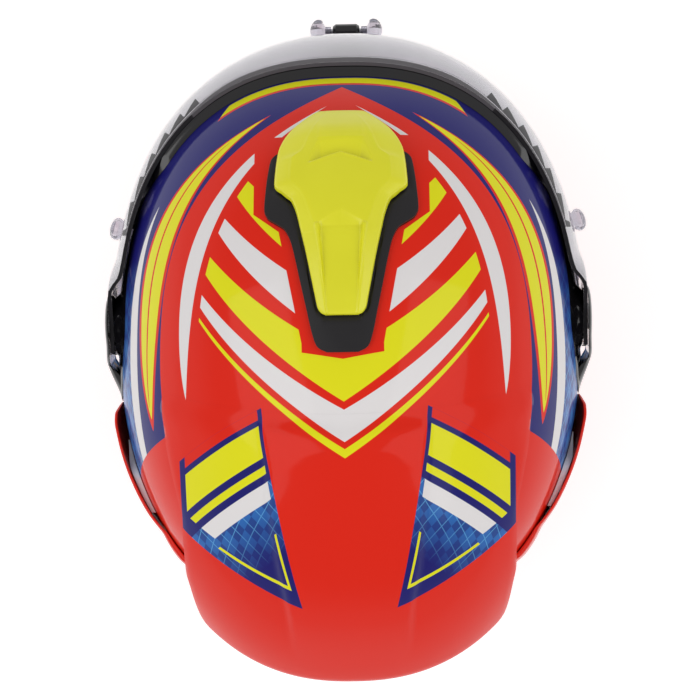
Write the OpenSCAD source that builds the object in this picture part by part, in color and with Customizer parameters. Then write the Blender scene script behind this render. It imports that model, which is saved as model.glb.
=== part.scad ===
// Full face motorcycle helmet, standing on its bottom rim.
// The front looks along -Y and the crown points up, all sizes are in millimetres.

/* [Shell] */
// Half width of the outer shell at its widest level
shell_half_width = 125; // [119:1:131]
// Reach of the shell in front of the crown line at the widest level
shell_front = 154; // [149:1:159]
// Reach of the shell behind the crown line at the widest level
shell_rear = 157; // [151:1:163]
// Height of the widest level above the ground
widest_z = 120; // [116:1:124]
// Height of the crown above the ground
crown_z = 255; // [249:1:261]
// Wall of the outer shell
shell_wall = 3; // [2:0.5:4]
// How far each side tucks in at the neck
side_tuck = 17; // [12:1:22]
// How far the neck opening tucks in at the rear
neck_tuck = 27; // [20:1:34]
// How far the chin bar stands out in front of the forehead
chin_out = 20; // [16:1:22]
// Depth of the step in the chin bar that the visor sits in
visor_step = 5; // [4:0.5:6]

/* [Eyeport and visor] */
// Height of the visor's lower edge at the centre
visor_low = 86; // [82:1:90]
// Height of the visor's upper edge at the centre
visor_high = 186; // [182:1:190]
// How far the visor laps over the edge of the eyeport
visor_lap = 9; // [7:1:11]
// Wall of the visor
visor_wall = 2; // [1.6:0.2:2.4]
// Gap between the shell and the inside of the visor beside the pivots
visor_gap = 2.4; // [2.2:0.2:3.2]
// Radius of the hub that the visor turns on
hub_radius = 7; // [5:0.5:9]
// Running clearance of the visor on its hub
hub_clearance = 0.05; // [0.02:0.01:0.1]

/* [Latch] */
// Radius of the clear lift knobs
knob_radius = 6.5; // [5.5:0.5:7.5]
// Width of each lift knob
knob_width = 8; // [6:0.5:10]
// Radius of the latch roller
roller_radius = 3.8; // [3:0.2:4.6]
// Length of the latch roller
roller_length = 15; // [12:1:18]
// Gap between the latch roller and each knob
roller_side_gap = 5; // [3:0.5:6]
// Radius of the steel latch pin
pin_radius = 1.2; // [1:0.1:1.6]

/* [Top vent] */
// Half width of the vent cover at its widest
cover_half_width = 33.6; // [31:0.2:36]
// Height of the vent cover above the shell
cover_height = 9; // [7:0.5:11]
// Margin of the vent frame outside the cover at its widest
frame_margin = 5.2; // [4:0.2:7]
// Thickness of the vent frame
frame_wall = 2; // [1.5:0.1:2.5]
// Clearance under the vent cover as it slides
slide_clearance = 0.85; // [0.7:0.05:0.95]

/* [Spoiler and fins] */
// Reach of the tail lip behind the shell
tail_reach = 27; // [20:1:32]
// How far the side edges of the spoiler panel lie inside the shell's half width
spoiler_inset = 29; // [26:1:34]
// Edge thickness of the spoiler panel
spoiler_edge = 1.5; // [1:0.1:2.5]
// Height of the raised spine on the spoiler
spine_height = 2.2; // [1.5:0.1:3]
// How far the side fins stand off the shell
fin_stand = 4.6; // [3.6:0.2:6]
// Thickness of the side fins
fin_wall = 2; // [1.6:0.1:2.6]

/* [Linings] */
// Thickness of the impact liner
liner_wall = 33; // [28:1:36]
// Thickness of the comfort crown pad
crown_pad_wall = 9; // [7:1:11]
// Gap that parts the linings from each other and from the shell
liner_gap = 0.6; // [0.5:0.1:0.8]
// Thickness of the chin liner
chin_liner_wall = 15; // [12:1:18]
// Distance from the middle to the face of a cheek pad
cheek_face = 66; // [62:1:72]
// Radius of the neck roll
neck_roll_radius = 10; // [8:0.5:12]

/* [Chin vent] */
// Half angle of the chin vent opening
chin_vent_angle = 12; // [12:6:18]
// Thickness of the chin vent frame
chin_frame_wall = 3; // [2:0.5:4]

/* [Chin strap] */
// Width of the chin strap webbing
strap_width = 24; // [20:1:26]
// Thickness of the chin strap webbing
strap_wall = 2; // [1.6:0.2:2.4]
// Wire radius of the D rings
ring_wire = 1.6; // [1.4:0.1:2]
// Radius of the D rings
ring_radius = 15; // [13:0.5:17]

/* [Hidden] */

// Colours
red = "orangered";
yellow = "yellow";
black = "dimgray";
dark = "darkslategray";
clear = "lightsteelblue";
foam = "gray";
cloth = "slategray";
steel = "silver";

// Angles run round the helmet: 0 on its left side, 90 in front, 180 on its right, 270 behind.
front_angle = 90;
full_turn = 360;

// Rim and trim
trim_drop = 2.5;
trim_out = 1.6;
trim_height = 7.5;
trim_fit = 0.4;
fit = 0.05;
seat = 0.3;
panel_seat = 0.5;

// Chin bar
chin_run = 125;
chin_from = 185;
chin_round = 20;
chin_round_from = 55;
step_low = 76;
step_run = 8;

// Eyeport
port_half_angle = 66;
port_end_share = 0.55;
visor_side_low = widest_z - 3;
visor_side_high = widest_z + 43;
visor_front = shell_front + chin_out;
brow_gap = 6.16;
visor_lean = visor_front - front_reach(visor_high, 0) - brow_gap - visor_wall;

// The visor turns about this line, square to the sides
pivot_y = -10;
pivot_z = widest_z + 20;
ear_back = 16;
ear_radius = 19;
ear_inner = shell_half_width + 0.9;
ear_outer = ear_inner + visor_wall;
pod_wall = 2;

// Latch line in front of the visor
knob_inner = roller_length / 2 + roller_side_gap;
latch_y = -(visor_front * pow(1 - pow(knob_inner / shell_half_width, 2), 0.5) + knob_radius + seat);
latch_z = visor_low + 2;

// The model is centred between its foremost and rearmost points
front_reach_total = knob_radius - latch_y;
rear_reach_total = shell_rear + tail_reach;
centre_shift = (front_reach_total - rear_reach_total) / 2;

// Chin strap and its rings
strap_y = -6;
strap_gap = 1;
anchor_wall = 1.5;
cheek_low = 18;
strap_low = cheek_low - 7.4;
ring_hinge_x = 70;
ring_hinge_z = strap_low + 0.4;
ring_droop = 20;
loop_radius = 2 * ring_wire + 0.2;

// Smooth step from 0 to 1
function ease(t) = let (c = min(max(t, 0), 1)) c * c * (3 - 2 * c);

// Straight-line lookup in a list of [position, value] pairs
function along(list, p) = lookup(p, list);

function mix(a, b, t) = a + (b - a) * t;

function signed_pow(v, e) = sign(v) * pow(abs(v), e);

// Outer form of the shell. Every level is a squared ellipse, and g grows it outward.
function narrowing(z, g) =
    z <= widest_z ? 1 : sqrt(max(0, 1 - pow((z - widest_z) / (crown_z + g - widest_z), 2)));

function depth_below(z) = max(0, (widest_z - z) / widest_z);

function squareness(z) =
    2.1 + 0.3 * ease((z - widest_z + 20) / 80) - 0.4 * ease((z - crown_z + 70) / 70);

function half_width(z, g) =
    (shell_half_width + g) * narrowing(z, g) - side_tuck * pow(depth_below(z), 2.2);

function front_reach(z, g) =
    (shell_front + g) * narrowing(z, g)
    + chin_out * ease((chin_from - z) / chin_run)
    - visor_step * ease((z - step_low) / step_run) * ease((chin_from - z) / 60)
    - chin_round * ease((chin_round_from - z) / chin_round_from);

function rear_reach(z, g) =
    (shell_rear + g) * narrowing(z, g) - neck_tuck * pow(depth_below(z), 1.8);

function reach(y, z, g) = y < 0 ? front_reach(z, g) : rear_reach(z, g);

// Point on the shell at an angle and a height
function skin(a, z, g) =
    let (e = 2 / squareness(z))
    [half_width(z, g) * signed_pow(cos(a), e),
     -(sin(a) > 0 ? front_reach(z, g) : rear_reach(z, g)) * signed_pow(sin(a), e), z];

// Sideways place of the shell at a depth and a height
function side_x(y, z, g) =
    half_width(z, g) * pow(max(0, 1 - pow(abs(y) / reach(y, z, g), squareness(z))), 1 / squareness(z));

// Forward place of the shell at a width and a height
function face_y(x, z, g) =
    -front_reach(z, g) * pow(max(0, 1 - pow(abs(x) / half_width(z, g), squareness(z))), 1 / squareness(z));

// Rearward place of the shell at a width and a height
function tail_y(x, z, g) =
    rear_reach(z, g) * pow(max(0, 1 - pow(abs(x) / half_width(z, g), squareness(z))), 1 / squareness(z));

// Places over the crown: x across, and phi from 0 in front over 90 at the crown to 180 behind
function outside(x, y, z, g) =
    z >= crown_z + g ? 1
    : abs(x) >= half_width(z, g) ? 1
    : pow(abs(x) / half_width(z, g), squareness(z)) + pow(abs(y) / reach(y, z, g), squareness(z)) - 1;

function arch(x, phi, g, low = 0, high = 2 * shell_rear, n = 26) =
    let (mid = (low + high) / 2)
    n == 0 ? mid
    : outside(x, -mid * cos(phi), widest_z + mid * sin(phi), g) > 0 ? arch(x, phi, g, low, mid, n - 1)
    : arch(x, phi, g, mid, high, n - 1);

// Point over the crown, lifted by h from the shell
function over(x, phi, h) =
    let (r = arch(x, phi, 0) + h)
    [x, -r * cos(phi), widest_z + r * sin(phi)];

// Edges of the visor and of the eyeport
function brow(a) = pow(max(0, sin(a)), 0.6);

function visor_top(a) = mix(visor_side_high, visor_high, brow(a));

function visor_bottom(a) = mix(visor_side_low, visor_low, brow(a));

function port_share(a) = port_end_share
    + (1 - port_end_share) * ease((port_half_angle - abs(a - front_angle)) / 14);

function port_middle(a) = (visor_top(a) + visor_bottom(a)) / 2;

function port_edge(a, side) =
    port_middle(a) + side * port_share(a) * ((visor_top(a) - visor_bottom(a)) / 2 - visor_lap);

// Closed solid between two grids of points, front and back, which have the same rows and columns.
// Cells that on() leaves out are open, and every edge is closed by a narrow wall.
module between(front, back, closed = false, poles = [], open = []) {
  rows = len(front);
  cols = len(front[0]);
  cells = closed ? cols : cols - 1;
  base = rows * cols;
  function at(i, j) = i * cols + j % cols;
  function off(i, j) =
      i < 0 || i > rows - 2 ? (len(poles) > 0 && i > rows - 2 ? false : true)
      : !closed && (j < 0 || j > cells - 1) ? true
      : len([for (o = open) if (i >= o[0] && i <= o[1] && (j + cells) % cells >= o[2]
                                && (j + cells) % cells <= o[3]) 1]) > 0;
  function quad(a, b, c, d) = [[a, b, c], [a, c, d]];
  sides = [
    for (i = [0:rows - 2], j = [0:cells - 1]) if (!off(i, j))
      let (a = at(i, j), b = at(i, j + 1), c = at(i + 1, j + 1), d = at(i + 1, j))
      each concat(
        quad(a, b, c, d),
        quad(base + d, base + c, base + b, base + a),
        off(i - 1, j) ? quad(b, a, base + a, base + b) : [],
        off(i, j + 1) ? quad(c, b, base + b, base + c) : [],
        off(i + 1, j) ? quad(d, c, base + c, base + d) : [],
        off(i, j - 1) ? quad(a, d, base + d, base + a) : [])
  ];
  caps = len(poles) == 0 ? [] : [
    for (j = [0:cells - 1])
      let (a = at(rows - 1, j), b = at(rows - 1, j + 1))
      each [[a, b, 2 * base], [base + b, base + a, 2 * base + 1]]
  ];
  polyhedron(concat([for (r = front) each r], [for (r = back) each r], poles), concat(sides, caps));
}

// Closed solid along rings of points. The ends of an open sweep are capped.
module swept(rings, closed = false) {
  count = len(rings);
  sides = len(rings[0]);
  function at(i, j) = (i % count) * sides + j % sides;
  walls = [
    for (i = [0:count - (closed ? 1 : 2)], j = [0:sides - 1])
      each [[at(i, j), at(i, j + 1), at(i + 1, j + 1)], [at(i, j), at(i + 1, j + 1), at(i + 1, j)]]
  ];
  ends = closed ? [] : concat(
    [for (j = [1:sides - 2]) [at(0, 0), at(0, j + 1), at(0, j)]],
    [for (j = [1:sides - 2]) [at(count - 1, 0), at(count - 1, j), at(count - 1, j + 1)]]);
  polyhedron([for (r = rings) each r], concat(walls, ends));
}

// Puts a piece in the frame of the whole model
module placed() translate([0, centre_shift, 0]) children();

// Draws a left piece on the right side
module mirrored() mirror([1, 0, 0]) children();

// Outer shell with its eyeport and chin vent cut out
shell_columns = 60;
shell_step = full_turn / shell_columns;
low_shares = [0, 0.12, 0.27, 0.42, 0.62, 0.79, 0.885, 1];
chin_vent_rows = [3, 3];
port_rows = 4;
crown_rows = 8;

function shell_level(i, a, g) =
    let (lows = len(low_shares), low = port_edge(a, -1), high = port_edge(a, 1),
         top = crown_z + g - widest_z, start = asin((high - widest_z) / top),
         t = (i - lows - port_rows + 1) / (crown_rows + 1))
    i < lows ? mix(trim_drop, low, low_shares[i])
    : i < lows + port_rows ? mix(low, high, (i - lows + 1) / port_rows)
    : widest_z + top * sin(mix(start, 90, t));

module outer_shell() {
  lows = len(low_shares);
  first_port = round((front_angle - port_half_angle) / shell_step);
  last_port = round((front_angle + port_half_angle) / shell_step) - 1;
  first_chin = round((front_angle - chin_vent_angle) / shell_step);
  last_chin = round((front_angle + chin_vent_angle) / shell_step) - 1;
  function grid(g) = [
    for (i = [0:lows + port_rows + crown_rows - 1])
      [for (j = [0:shell_columns - 1]) let (a = j * shell_step) skin(a, shell_level(i, a, g), g)]
  ];
  color(red) placed() between(grid(0), grid(-shell_wall), closed = true,
          poles = [[0, 0, crown_z], [0, 0, crown_z - shell_wall]],
          open = [[lows - 1, lows + port_rows - 2, first_port, last_port],
                  [chin_vent_rows[0], chin_vent_rows[1], first_chin, last_chin]]);
}

// Rubber bead on the bottom rim. The shell stands in its slot.
module edge_trim() color(dark) placed() {
  inner = -shell_wall;
  bead = [[trim_out, trim_height], [trim_out + 0.6, trim_drop], [trim_out, 0],
          [inner - trim_out, 0], [inner - trim_out - 0.6, trim_drop], [inner - trim_out, trim_height],
          [inner - trim_fit, trim_height], [inner - trim_fit, trim_drop], [trim_fit, trim_drop],
          [trim_fit, trim_height]];
  rings = [
    for (j = [0:shell_columns - 1])
      [for (p = bead) skin(j * shell_step, p[1], p[0])]
  ];
  swept(rings, closed = true);
}

// Rubber gasket on the shell round the eyeport
module eyeport_gasket() {
  band = 5;
  thick = 1.6;
  lift = 0.2;
  step = 6;
  first = front_angle - port_half_angle;
  last = front_angle + port_half_angle;
  end_turn = 2.4;
  lower = [for (a = [first:step:last]) [a, -1]];
  right = [for (s = [-0.5:0.5:0.5]) [last, s]];
  upper = [for (a = [last:-step:first]) [a, 1]];
  left = [for (s = [0.5:-0.5:-0.5]) [first, s]];
  path = concat(lower, right, upper, left);
  function edge(p, out, g) =
      let (end = p[0] == first ? -1 : p[0] == last ? 1 : 0,
           a = p[0] + end * out * end_turn / band,
           rise = abs(p[1]) == 1 ? p[1] * out : 0)
      skin(a, port_edge(p[0], p[1]) + rise, g);
  function strip(g) = [[for (p = path) edge(p, band, g)], [for (p = path) edge(p, 0, g)]];
  color(dark) placed() between(strip(lift + thick), strip(lift), closed = true);
}

// Foam that takes up the blow, from the brow over the crown to the nape
liner_nape = 38;
liner_outer = -(shell_wall + liner_gap);
liner_inner = liner_outer - liner_wall;
pad_gap = 2 * liner_gap;

function liner_low(a) = mix(liner_nape, port_edge(a, 1) + 4, ease((sin(a) + 0.55) / 0.95));

function dome(a, t, low, g) = skin(a, low + (crown_z + g - low) * sin(90 * t), g);

module impact_liner() {
  columns = 40;
  rows = 9;
  function grid(g) = [
    for (i = [0:rows - 1])
      [for (j = [0:columns - 1]) let (a = j * full_turn / columns) dome(a, i / rows, liner_low(a), g)]
  ];
  color(foam) placed() between(grid(liner_outer), grid(liner_inner), closed = true,
          poles = [[0, 0, crown_z + liner_outer], [0, 0, crown_z + liner_inner]]);
}

// Padded cap inside the impact liner, with sewn channels that run over the head
module crown_pad() {
  columns = 40;
  rows = 9;
  lift = 6;
  outer = liner_inner - pad_gap;
  function channel(a) = 0.72 + 0.28 * abs(sin(4 * a));
  function plump(t) = 0.6 + 0.4 * sin(180 * min(1, 0.12 + t));
  function grid(full) = [
    for (i = [0:rows - 1])
      [for (j = [0:columns - 1])
        let (a = j * full_turn / columns, t = i / rows,
             g = outer - (full ? crown_pad_wall * channel(a) * plump(t) : 0))
        dome(a, t, liner_low(a) + lift, g)]
  ];
  color(cloth) placed() between(grid(false), grid(true), closed = true,
          poles = [[0, 0, crown_z + outer], [0, 0, crown_z + outer - crown_pad_wall]]);
}

// Foam inside the chin bar, open behind the chin vent
chin_liner_outer = -(shell_wall + liner_gap);
chin_liner_half_angle = 54;

module chin_liner() {
  rim = trim_height + 3;
  shares = [0, 0.34, 0.6, 1];
  first_chin = round((chin_liner_half_angle - chin_vent_angle) / shell_step);
  last_chin = round((chin_liner_half_angle + chin_vent_angle) / shell_step) - 1;
  function grid(g) = [
    for (s = shares)
      [for (k = [-chin_liner_half_angle:shell_step:chin_liner_half_angle])
        let (a = front_angle + k, top = port_edge(a, -1) - 5)
        skin(a, mix(rim, top, s), g)]
  ];
  color(foam) placed() between(grid(chin_liner_outer), grid(chin_liner_outer - chin_liner_wall),
          open = [[1, 1, first_chin, last_chin]]);
}

// Cheek pad, a rounded cushion whose face is crowned and whose sides draw in
cheek_back = 36;
cheek_front = -78;
cheek_high = 98;

module cheek_pad_left() {
  columns = 14;
  rows = 10;
  outer = -(shell_wall + strap_wall + 2 * strap_gap + anchor_wall + seat);
  crown = 9;
  mid_y = (cheek_front + cheek_back) / 2;
  long = (cheek_back - cheek_front) / 2;
  mid_z = (cheek_low + cheek_high) / 2;
  tall = (cheek_high - cheek_low) / 2;
  function round_off(u, v) = sqrt(1 - 0.42 * v * v);
  function spot(u, v, draw) = [
    mid_y + (long - draw) * u * round_off(u, v),
    mid_z + (tall - draw) * v * round_off(v, u) - 8 * max(0, u)
  ];
  function plump(u, v) = (1 - pow(u, 4)) * (1 - pow(v, 4));
  function seam(v) = 1.2 * exp(-pow((v - 0.3) / 0.12, 2));
  function grid(face) = [
    for (i = [0:rows])
      [for (j = [0:columns])
        let (u = 1 - 2 * j / columns, v = 2 * i / rows - 1, p = spot(u, v, face ? 5 : 0))
        face ? [cheek_face + crown - (crown - 1) * plump(u, v) + seam(v), p[0], p[1]]
             : [side_x(p[0], p[1], outer), p[0], p[1]]]
  ];
  color(cloth) placed() between(grid(false), grid(true));
}

module cheek_pad_right() mirrored() cheek_pad_left();

// Padded roll round the nape
module neck_roll() {
  sides = 10;
  first = 200;
  last = 340;
  stations = 22;
  bottom = 6;
  depth = shell_wall + seat + neck_roll_radius;
  function swell(t) = 0.35 + 0.65 * sqrt(sin(180 * min(max(t, 0.04), 0.96)));
  rings = [
    for (i = [0:stations])
      let (t = i / stations, a = mix(first, last, t), s = swell(t),
           c = bottom + 1.25 * neck_roll_radius)
      [for (j = [0:sides - 1])
        let (b = j * full_turn / sides)
        skin(a, c - 1.25 * neck_roll_radius * s * sin(b), -depth + neck_roll_radius * s * cos(b))]
  ];
  color(cloth) placed() swept(rings);
}

// Soft guard that turns breath away from the visor
module breath_guard() {
  columns = 16;
  half = 46;
  inner = -(shell_wall + liner_gap + chin_liner_wall + 0.8 * visor_step + seat);
  thick = 1.8;
  low = port_edge(front_angle, -1) - 20;
  rise = 28;
  function spot(u, t, g) =
      let (x = half * u, z = low + rise * t * (1 - 0.6 * u * u),
           y = face_y(x, min(z, port_edge(front_angle, -1) - 4), inner) + 14 * t * t)
      [x, y + g, z];
  function grid(g) = [for (t = [0, 0.35, 0.7, 1]) [for (j = [0:columns]) spot(1 - 2 * j / columns, t, g)]];
  color(dark) placed() between(grid(0), grid(thick));
}

// Cloth curtain that closes the gap under the chin
module chin_curtain() {
  columns = 18;
  spread = 54;
  drop = 9;
  inner = -(shell_wall + trim_out + 1.2);
  width = 34;
  thick = 1.2;
  function grid(up) = [
    for (t = [0, 0.5, 1])
      [for (j = [0:columns])
        let (a = front_angle - spread + 2 * spread * j / columns,
             z = drop - 4 * sin(180 * t) + up, s = sin(180 * j / columns))
        skin(a, z, inner - width * t * (0.25 + 0.75 * s))]
  ];
  color(cloth) placed() between(grid(thick), grid(0));
}

// Top vent outlines: place over the crown, then half width as a share of the widest
cover_outline = [
  [41.8, 0.25], [42.1, 0.33], [43.2, 0.456], [44.8, 0.583], [47.3, 0.765], [50.3, 0.9], [52, 0.945],
  [56.5, 0.985], [60, 1], [61, 0.967], [62, 0.89], [63.2, 0.815], [64, 0.755], [65.6, 0.7],
  [67.7, 0.655], [70.8, 0.606], [75.4, 0.534], [80.5, 0.463], [85.6, 0.393], [87.8, 0.36],
  [88.9, 0.31], [89.4, 0.24]
];
frame_outline = [
  [51.2, 0.83], [52.6, 0.918], [55.8, 0.954], [60, 0.982], [64.7, 1], [66.9, 0.953], [68.5, 0.845],
  [70.1, 0.732], [72.9, 0.653], [77, 0.594], [81.9, 0.534], [88, 0.455], [93.7, 0.378], [96, 0.32], [97, 0.2]
];
vent_columns = 14;

// Height of the vent cover above the shell, as a share of its full height
function cover_shape(u, phi) =
    let (edge = 1 - pow(abs(u), 3),
         nose = ease((phi - 40) / 10),
         tail = 1 - 0.5 * ease((phi - 67) / 4),
         intake = 0.6 * ease((phi - 50.8) / 1) * (1 - ease((phi - 54.6) / 2))
                  * (1 - ease((abs(u) - 0.36) / 0.12)),
         rib = 0.16 * ease((phi - 70.5) / 2) * (1 - ease((phi - 81) / 4))
               * (1 - ease(abs(abs(u) - 0.56) / 0.14)))
    max(0, 0.35 + 0.65 * edge * nose * tail - intake + rib * edge);

module vent_strip(outline, half, low, high) {
  function grid(lift) = [
    for (o = outline)
      [for (j = [0:vent_columns])
        let (u = 1 - 2 * j / vent_columns)
        over(u * half * o[1], o[0], lift[0] + lift[1] * (lift[1] == 0 ? 0 : cover_shape(u, o[0])))]
  ];
  between(grid(high), grid(low));
}

cover_foot = seat + frame_wall + slide_clearance;
cover_skirt = 1;

module vent_frame() color(black) placed()
  vent_strip(frame_outline, cover_half_width + frame_margin, [seat, 0], [seat + frame_wall, 0]);

module vent_cover() color(yellow) placed() {
  fine = [
    for (i = [0:len(cover_outline) - 2])
      let (a = cover_outline[i], b = cover_outline[i + 1], n = max(1, round((b[0] - a[0]) / 1.7)))
      each [for (k = [0:n - 1]) [mix(a[0], b[0], k / n), mix(a[1], b[1], k / n)]]
  ];
  vent_strip(concat(fine, [cover_outline[len(cover_outline) - 1]]), cover_half_width,
             [cover_foot, 0], [cover_foot + cover_skirt, cover_height - cover_foot - cover_skirt]);
}

// Spoiler panel: a thin skin at the crown that grows into the overhanging tail
spoiler_half_width = shell_half_width - spoiler_inset;
spoiler_last = 170;
spoiler_outline = [
  [110, 0.98], [115, 1], [120, 0.985], [127, 0.97], [135, 0.935], [143, 0.9], [150, 0.9], [156, 0.9],
  [161, 0.88], [165.5, 0.86], [168.5, 0.84], [170, 0.82]
];
spine_outline = [[110, 41], [118, 39], [140, 35], [152, 30], [162, 28], [170, 26]];
spine_slope = 9;
tail_run_in = 1.8;

function tail_growth(phi) = pow(max(0, (phi - 122) / (spoiler_last - 122)), 1.7);

function spine(x, phi) =
    spine_height * ease((phi - 111) / 8) * (1 - ease((phi - 150) / 15))
    * (1 - ease((abs(x) - along(spine_outline, phi)) / spine_slope));

function spoiler_top(x, phi) =
    spoiler_edge + spine(x, phi)
    + (arch(x, phi, 0) / shell_rear) * (tail_reach + tail_run_in) * tail_growth(phi);

module rear_spoiler() {
  columns = 28;
  function grid(full) = [
    for (o = spoiler_outline)
      [for (j = [0:columns])
        let (x = spoiler_half_width * o[1] * (1 - 2 * j / columns))
        over(x, o[0], full ? panel_seat + spoiler_top(x, o[0]) : panel_seat)]
  ];
  color(red) placed() between(grid(true), grid(false));
}

// Exhaust grille set on the shell under the tail lip
module rear_grille() {
  half = 42;
  low = widest_z - 12;
  high = widest_z + 12;
  thick = 4;
  columns = 14;
  rows = 4;
  function grid(g) = [
    for (i = [0:rows])
      [for (j = [0:columns])
        let (x = -half + 2 * half * j / columns, z = mix(low, high, i / rows))
        [x, tail_y(x, z, g), z]]
  ];
  slots = [for (k = [1:2:columns - 2]) [1, rows - 2, k, k]];
  color(black) placed() between(grid(thick), grid(seat), open = slots);
}

// Side fin: a scoop that leaves the shell behind the pod, leans out to its upper rim, and closes
// on the shell again under the spoiler's corner
fin_stations = [
  // depth, stand-off share of the rim, lowest and highest height above the widest level, wall share
  [31, 0, -4, 9, 0.4], [34, 0.3, -10, 15, 0.8], [38, 0.75, -15, 20, 1], [45, 1, -18, 23, 1],
  [54, 1, -21, 26, 1], [66, 0.95, -22, 28, 1], [80, 0.8, -22, 31, 1], [92, 0.6, -20, 33, 1],
  [99, 0.3, -18, 34, 1], [104, 0, -16, 34, 1.3], [111, 0, -12, 34, 1.8], [117, 0, -8, 34, 2],
  [121, 0, -4, 33, 1.5], [124, 0, 2, 30, 0.7]
];
corner_drop = 59.3;
corner_z = over(0.9 * spoiler_half_width, 150, 0)[2] - corner_drop;

function fin_height(y, z) = mix(widest_z, corner_z, ease((y - 29) / 50)) + z;

function fin_column(k) = [for (s = fin_stations) [s[0], s[k]]];

// Room between the shell and the fin's inner face
function fin_gap(y, z) =
    let (low = fin_height(y, along(fin_column(2), y)), high = fin_height(y, along(fin_column(3), y)))
    seat + fin_stand * along(fin_column(1), y) * (z - low) / (high - low);

module side_fin_left() color(red) placed() {
  rings = [
    for (s = fin_stations)
      let (y = s[0], wall = fin_wall * s[4], low = fin_height(y, s[2]), high = fin_height(y, s[3]),
           heights = [for (t = [0, 0.35, 0.7, 1]) mix(low, high, t)],
           inner = [for (z = heights) side_x(y, z, 0) + fin_gap(y, z)])
      concat(
        [for (k = [0:3]) [inner[k] + wall - (k == 0 || k == 3 ? 0.25 * wall : 0), y, heights[k]]],
        [for (k = [3:-1:0]) [inner[k], y, heights[k]]]
      )
  ];
  swept(rings);
}

module side_fin_right() mirrored() side_fin_left();

// Clear louvre between the fin and the shell
module exhaust_duct_left() {
  rings = [
    for (y = [52, 60, 68, 76, 84, 92])
      let (z = fin_height(y, 16 + (y - 52) * 0.12),
           near = side_x(y, z, 0) + seat, far = side_x(y, z, 0) + fin_gap(y, z) - 0.7)
      [[near, y, z], [far, y, z], [far, y, z + 2.4], [near, y, z + 2.4]]
  ];
  color(clear) placed() swept(rings);
}

module exhaust_duct_right() mirrored() exhaust_duct_left();

// Chin vent: a frame in the opening, a mesh behind it and a shutter that slides
chin_vent_low = mix(trim_drop, port_edge(front_angle, -1), low_shares[chin_vent_rows[0]]);
chin_vent_high = mix(trim_drop, port_edge(front_angle, -1), low_shares[chin_vent_rows[1] + 1]);

module chin_band(first, last, low, high, outer, inner, rows, open = []) {
  columns = 8;
  function grid(g) = [
    for (i = [0:rows])
      [for (j = [0:columns])
        skin(mix(first, last, j / columns), mix(low, high, i / rows), g)]
  ];
  between(grid(outer), grid(inner), open = open);
}

module chin_vent_frame() color(black) placed()
  chin_band(front_angle - chin_vent_angle - 3, front_angle + chin_vent_angle + 3,
            chin_vent_low - 4, chin_vent_high + 4, seat + chin_frame_wall, seat, 5,
            open = [[1, 1, 1, 6], [3, 3, 1, 6]]);

module chin_vent_mesh() color(dark) placed()
  chin_band(front_angle - chin_vent_angle + 1, front_angle + chin_vent_angle - 1,
            chin_vent_low + 1.5, chin_vent_high - 1.5, -0.6, -1.6, 2);

// Shutter tab on the outside of the frame
module chin_vent_shutter() color(black) placed() {
  z = (chin_vent_low + chin_vent_high) / 2;
  y = face_y(0, z, seat + chin_frame_wall + seat);
  translate([0, y, z]) rotate([90, 0, 0]) {
    linear_extrude(2.4) hull() for (s = [-1, 1]) translate([s * 7, 0]) circle(r = 2.2, $fn = 24);
    for (k = [-1:1]) translate([k * 4 - 0.6, -1.6, 2.4]) cube([1.2, 3.2, 0.8]);
  }
}

// Pivot parts, each drawn on the left side
module on_pivot(x) translate([x, pivot_y, pivot_z]) rotate([0, 90, 0]) children();

module pivot_base_left() {
  steps = 24;
  radii = [hub_radius + 0.2, 14];
  function spot(r, b) = [pivot_y + r * cos(b), pivot_z + r * sin(b)];
  function grid(flat) = [
    for (r = radii)
      [for (j = [0:steps - 1])
        let (p = spot(r, j * full_turn / steps))
        [flat ? ear_inner - seat : side_x(p[0], p[1], seat / 2), p[0], p[1]]]
  ];
  color(black) placed() between(grid(true), grid(false), closed = true);
}

module pivot_base_right() mirrored() pivot_base_left();

// Hub pin with a bore for its screw
hub_top = ear_outer + 0.3;
screw_radius = 1.6;

module pivot_hub_left() color(steel) placed() {
  foot = shell_half_width + 0.1;
  on_pivot(foot) difference() {
    cylinder(r = hub_radius, h = hub_top - foot, $fn = 64);
    translate([0, 0, -1]) cylinder(r = screw_radius, h = hub_top - foot + 2, $fn = 32);
  }
}

module pivot_hub_right() mirrored() pivot_hub_left();

module pivot_screws() color(steel) placed() {
  foot = shell_half_width + 0.1;
  for (m = [0, 1]) mirror([m, 0, 0]) on_pivot(foot)
    cylinder(r = screw_radius - fit, h = hub_top - foot, $fn = 32);
}

// Side pod: a drop-shaped cap over the pivot whose tip comes down on the shell
pod_inner = hub_top + seat;

module side_pod_left() {
  steps = 26;
  tip = 42;
  front_radius = 17;
  shares = [1, 0.9, 0.76, 0.45];
  tilt = -16;
  function drop(b) =
      let (c = max(0, cos(b - tilt)))
      front_radius + (tip - front_radius) * pow(c, 7);
  function out_to(s, b) = s > 0.8 ? s * drop(b) : min(s * drop(b), ear_radius + 3);
  function spot(s, b) = [pivot_y + out_to(s, b) * cos(b), pivot_z + out_to(s, b) * sin(b)];
  function far(p) = norm([p[0] - pivot_y, p[1] - pivot_z]);
  function face(p, s) =
      mix(pod_inner + pod_wall, side_x(p[0], p[1], 2), ease((far(p) - 19) / 20)) - 1.2 * pow(s, 4);
  function rear(p) = mix(pod_inner, side_x(p[0], p[1], seat), ease((far(p) - ear_radius - 4.5) / 6));
  function grid(out) = [
    for (s = shares)
      [for (j = [0:steps - 1])
        let (p = spot(s, j * full_turn / steps))
        [out ? face(p, s) : rear(p), p[0], p[1]]]
  ];
  color(black) placed() between(grid(false), grid(true), closed = true,
          poles = [[pod_inner, pivot_y, pivot_z], [pod_inner + pod_wall, pivot_y, pivot_z]]);
}

module side_pod_right() mirrored() side_pod_left();

// Visor: a curved shield with flat ears that turn on the hubs
function visor_reach(z) =
    visor_front - visor_lean * pow(max(0, (z - visor_low) / (visor_high - visor_low)), 2.4);

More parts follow.
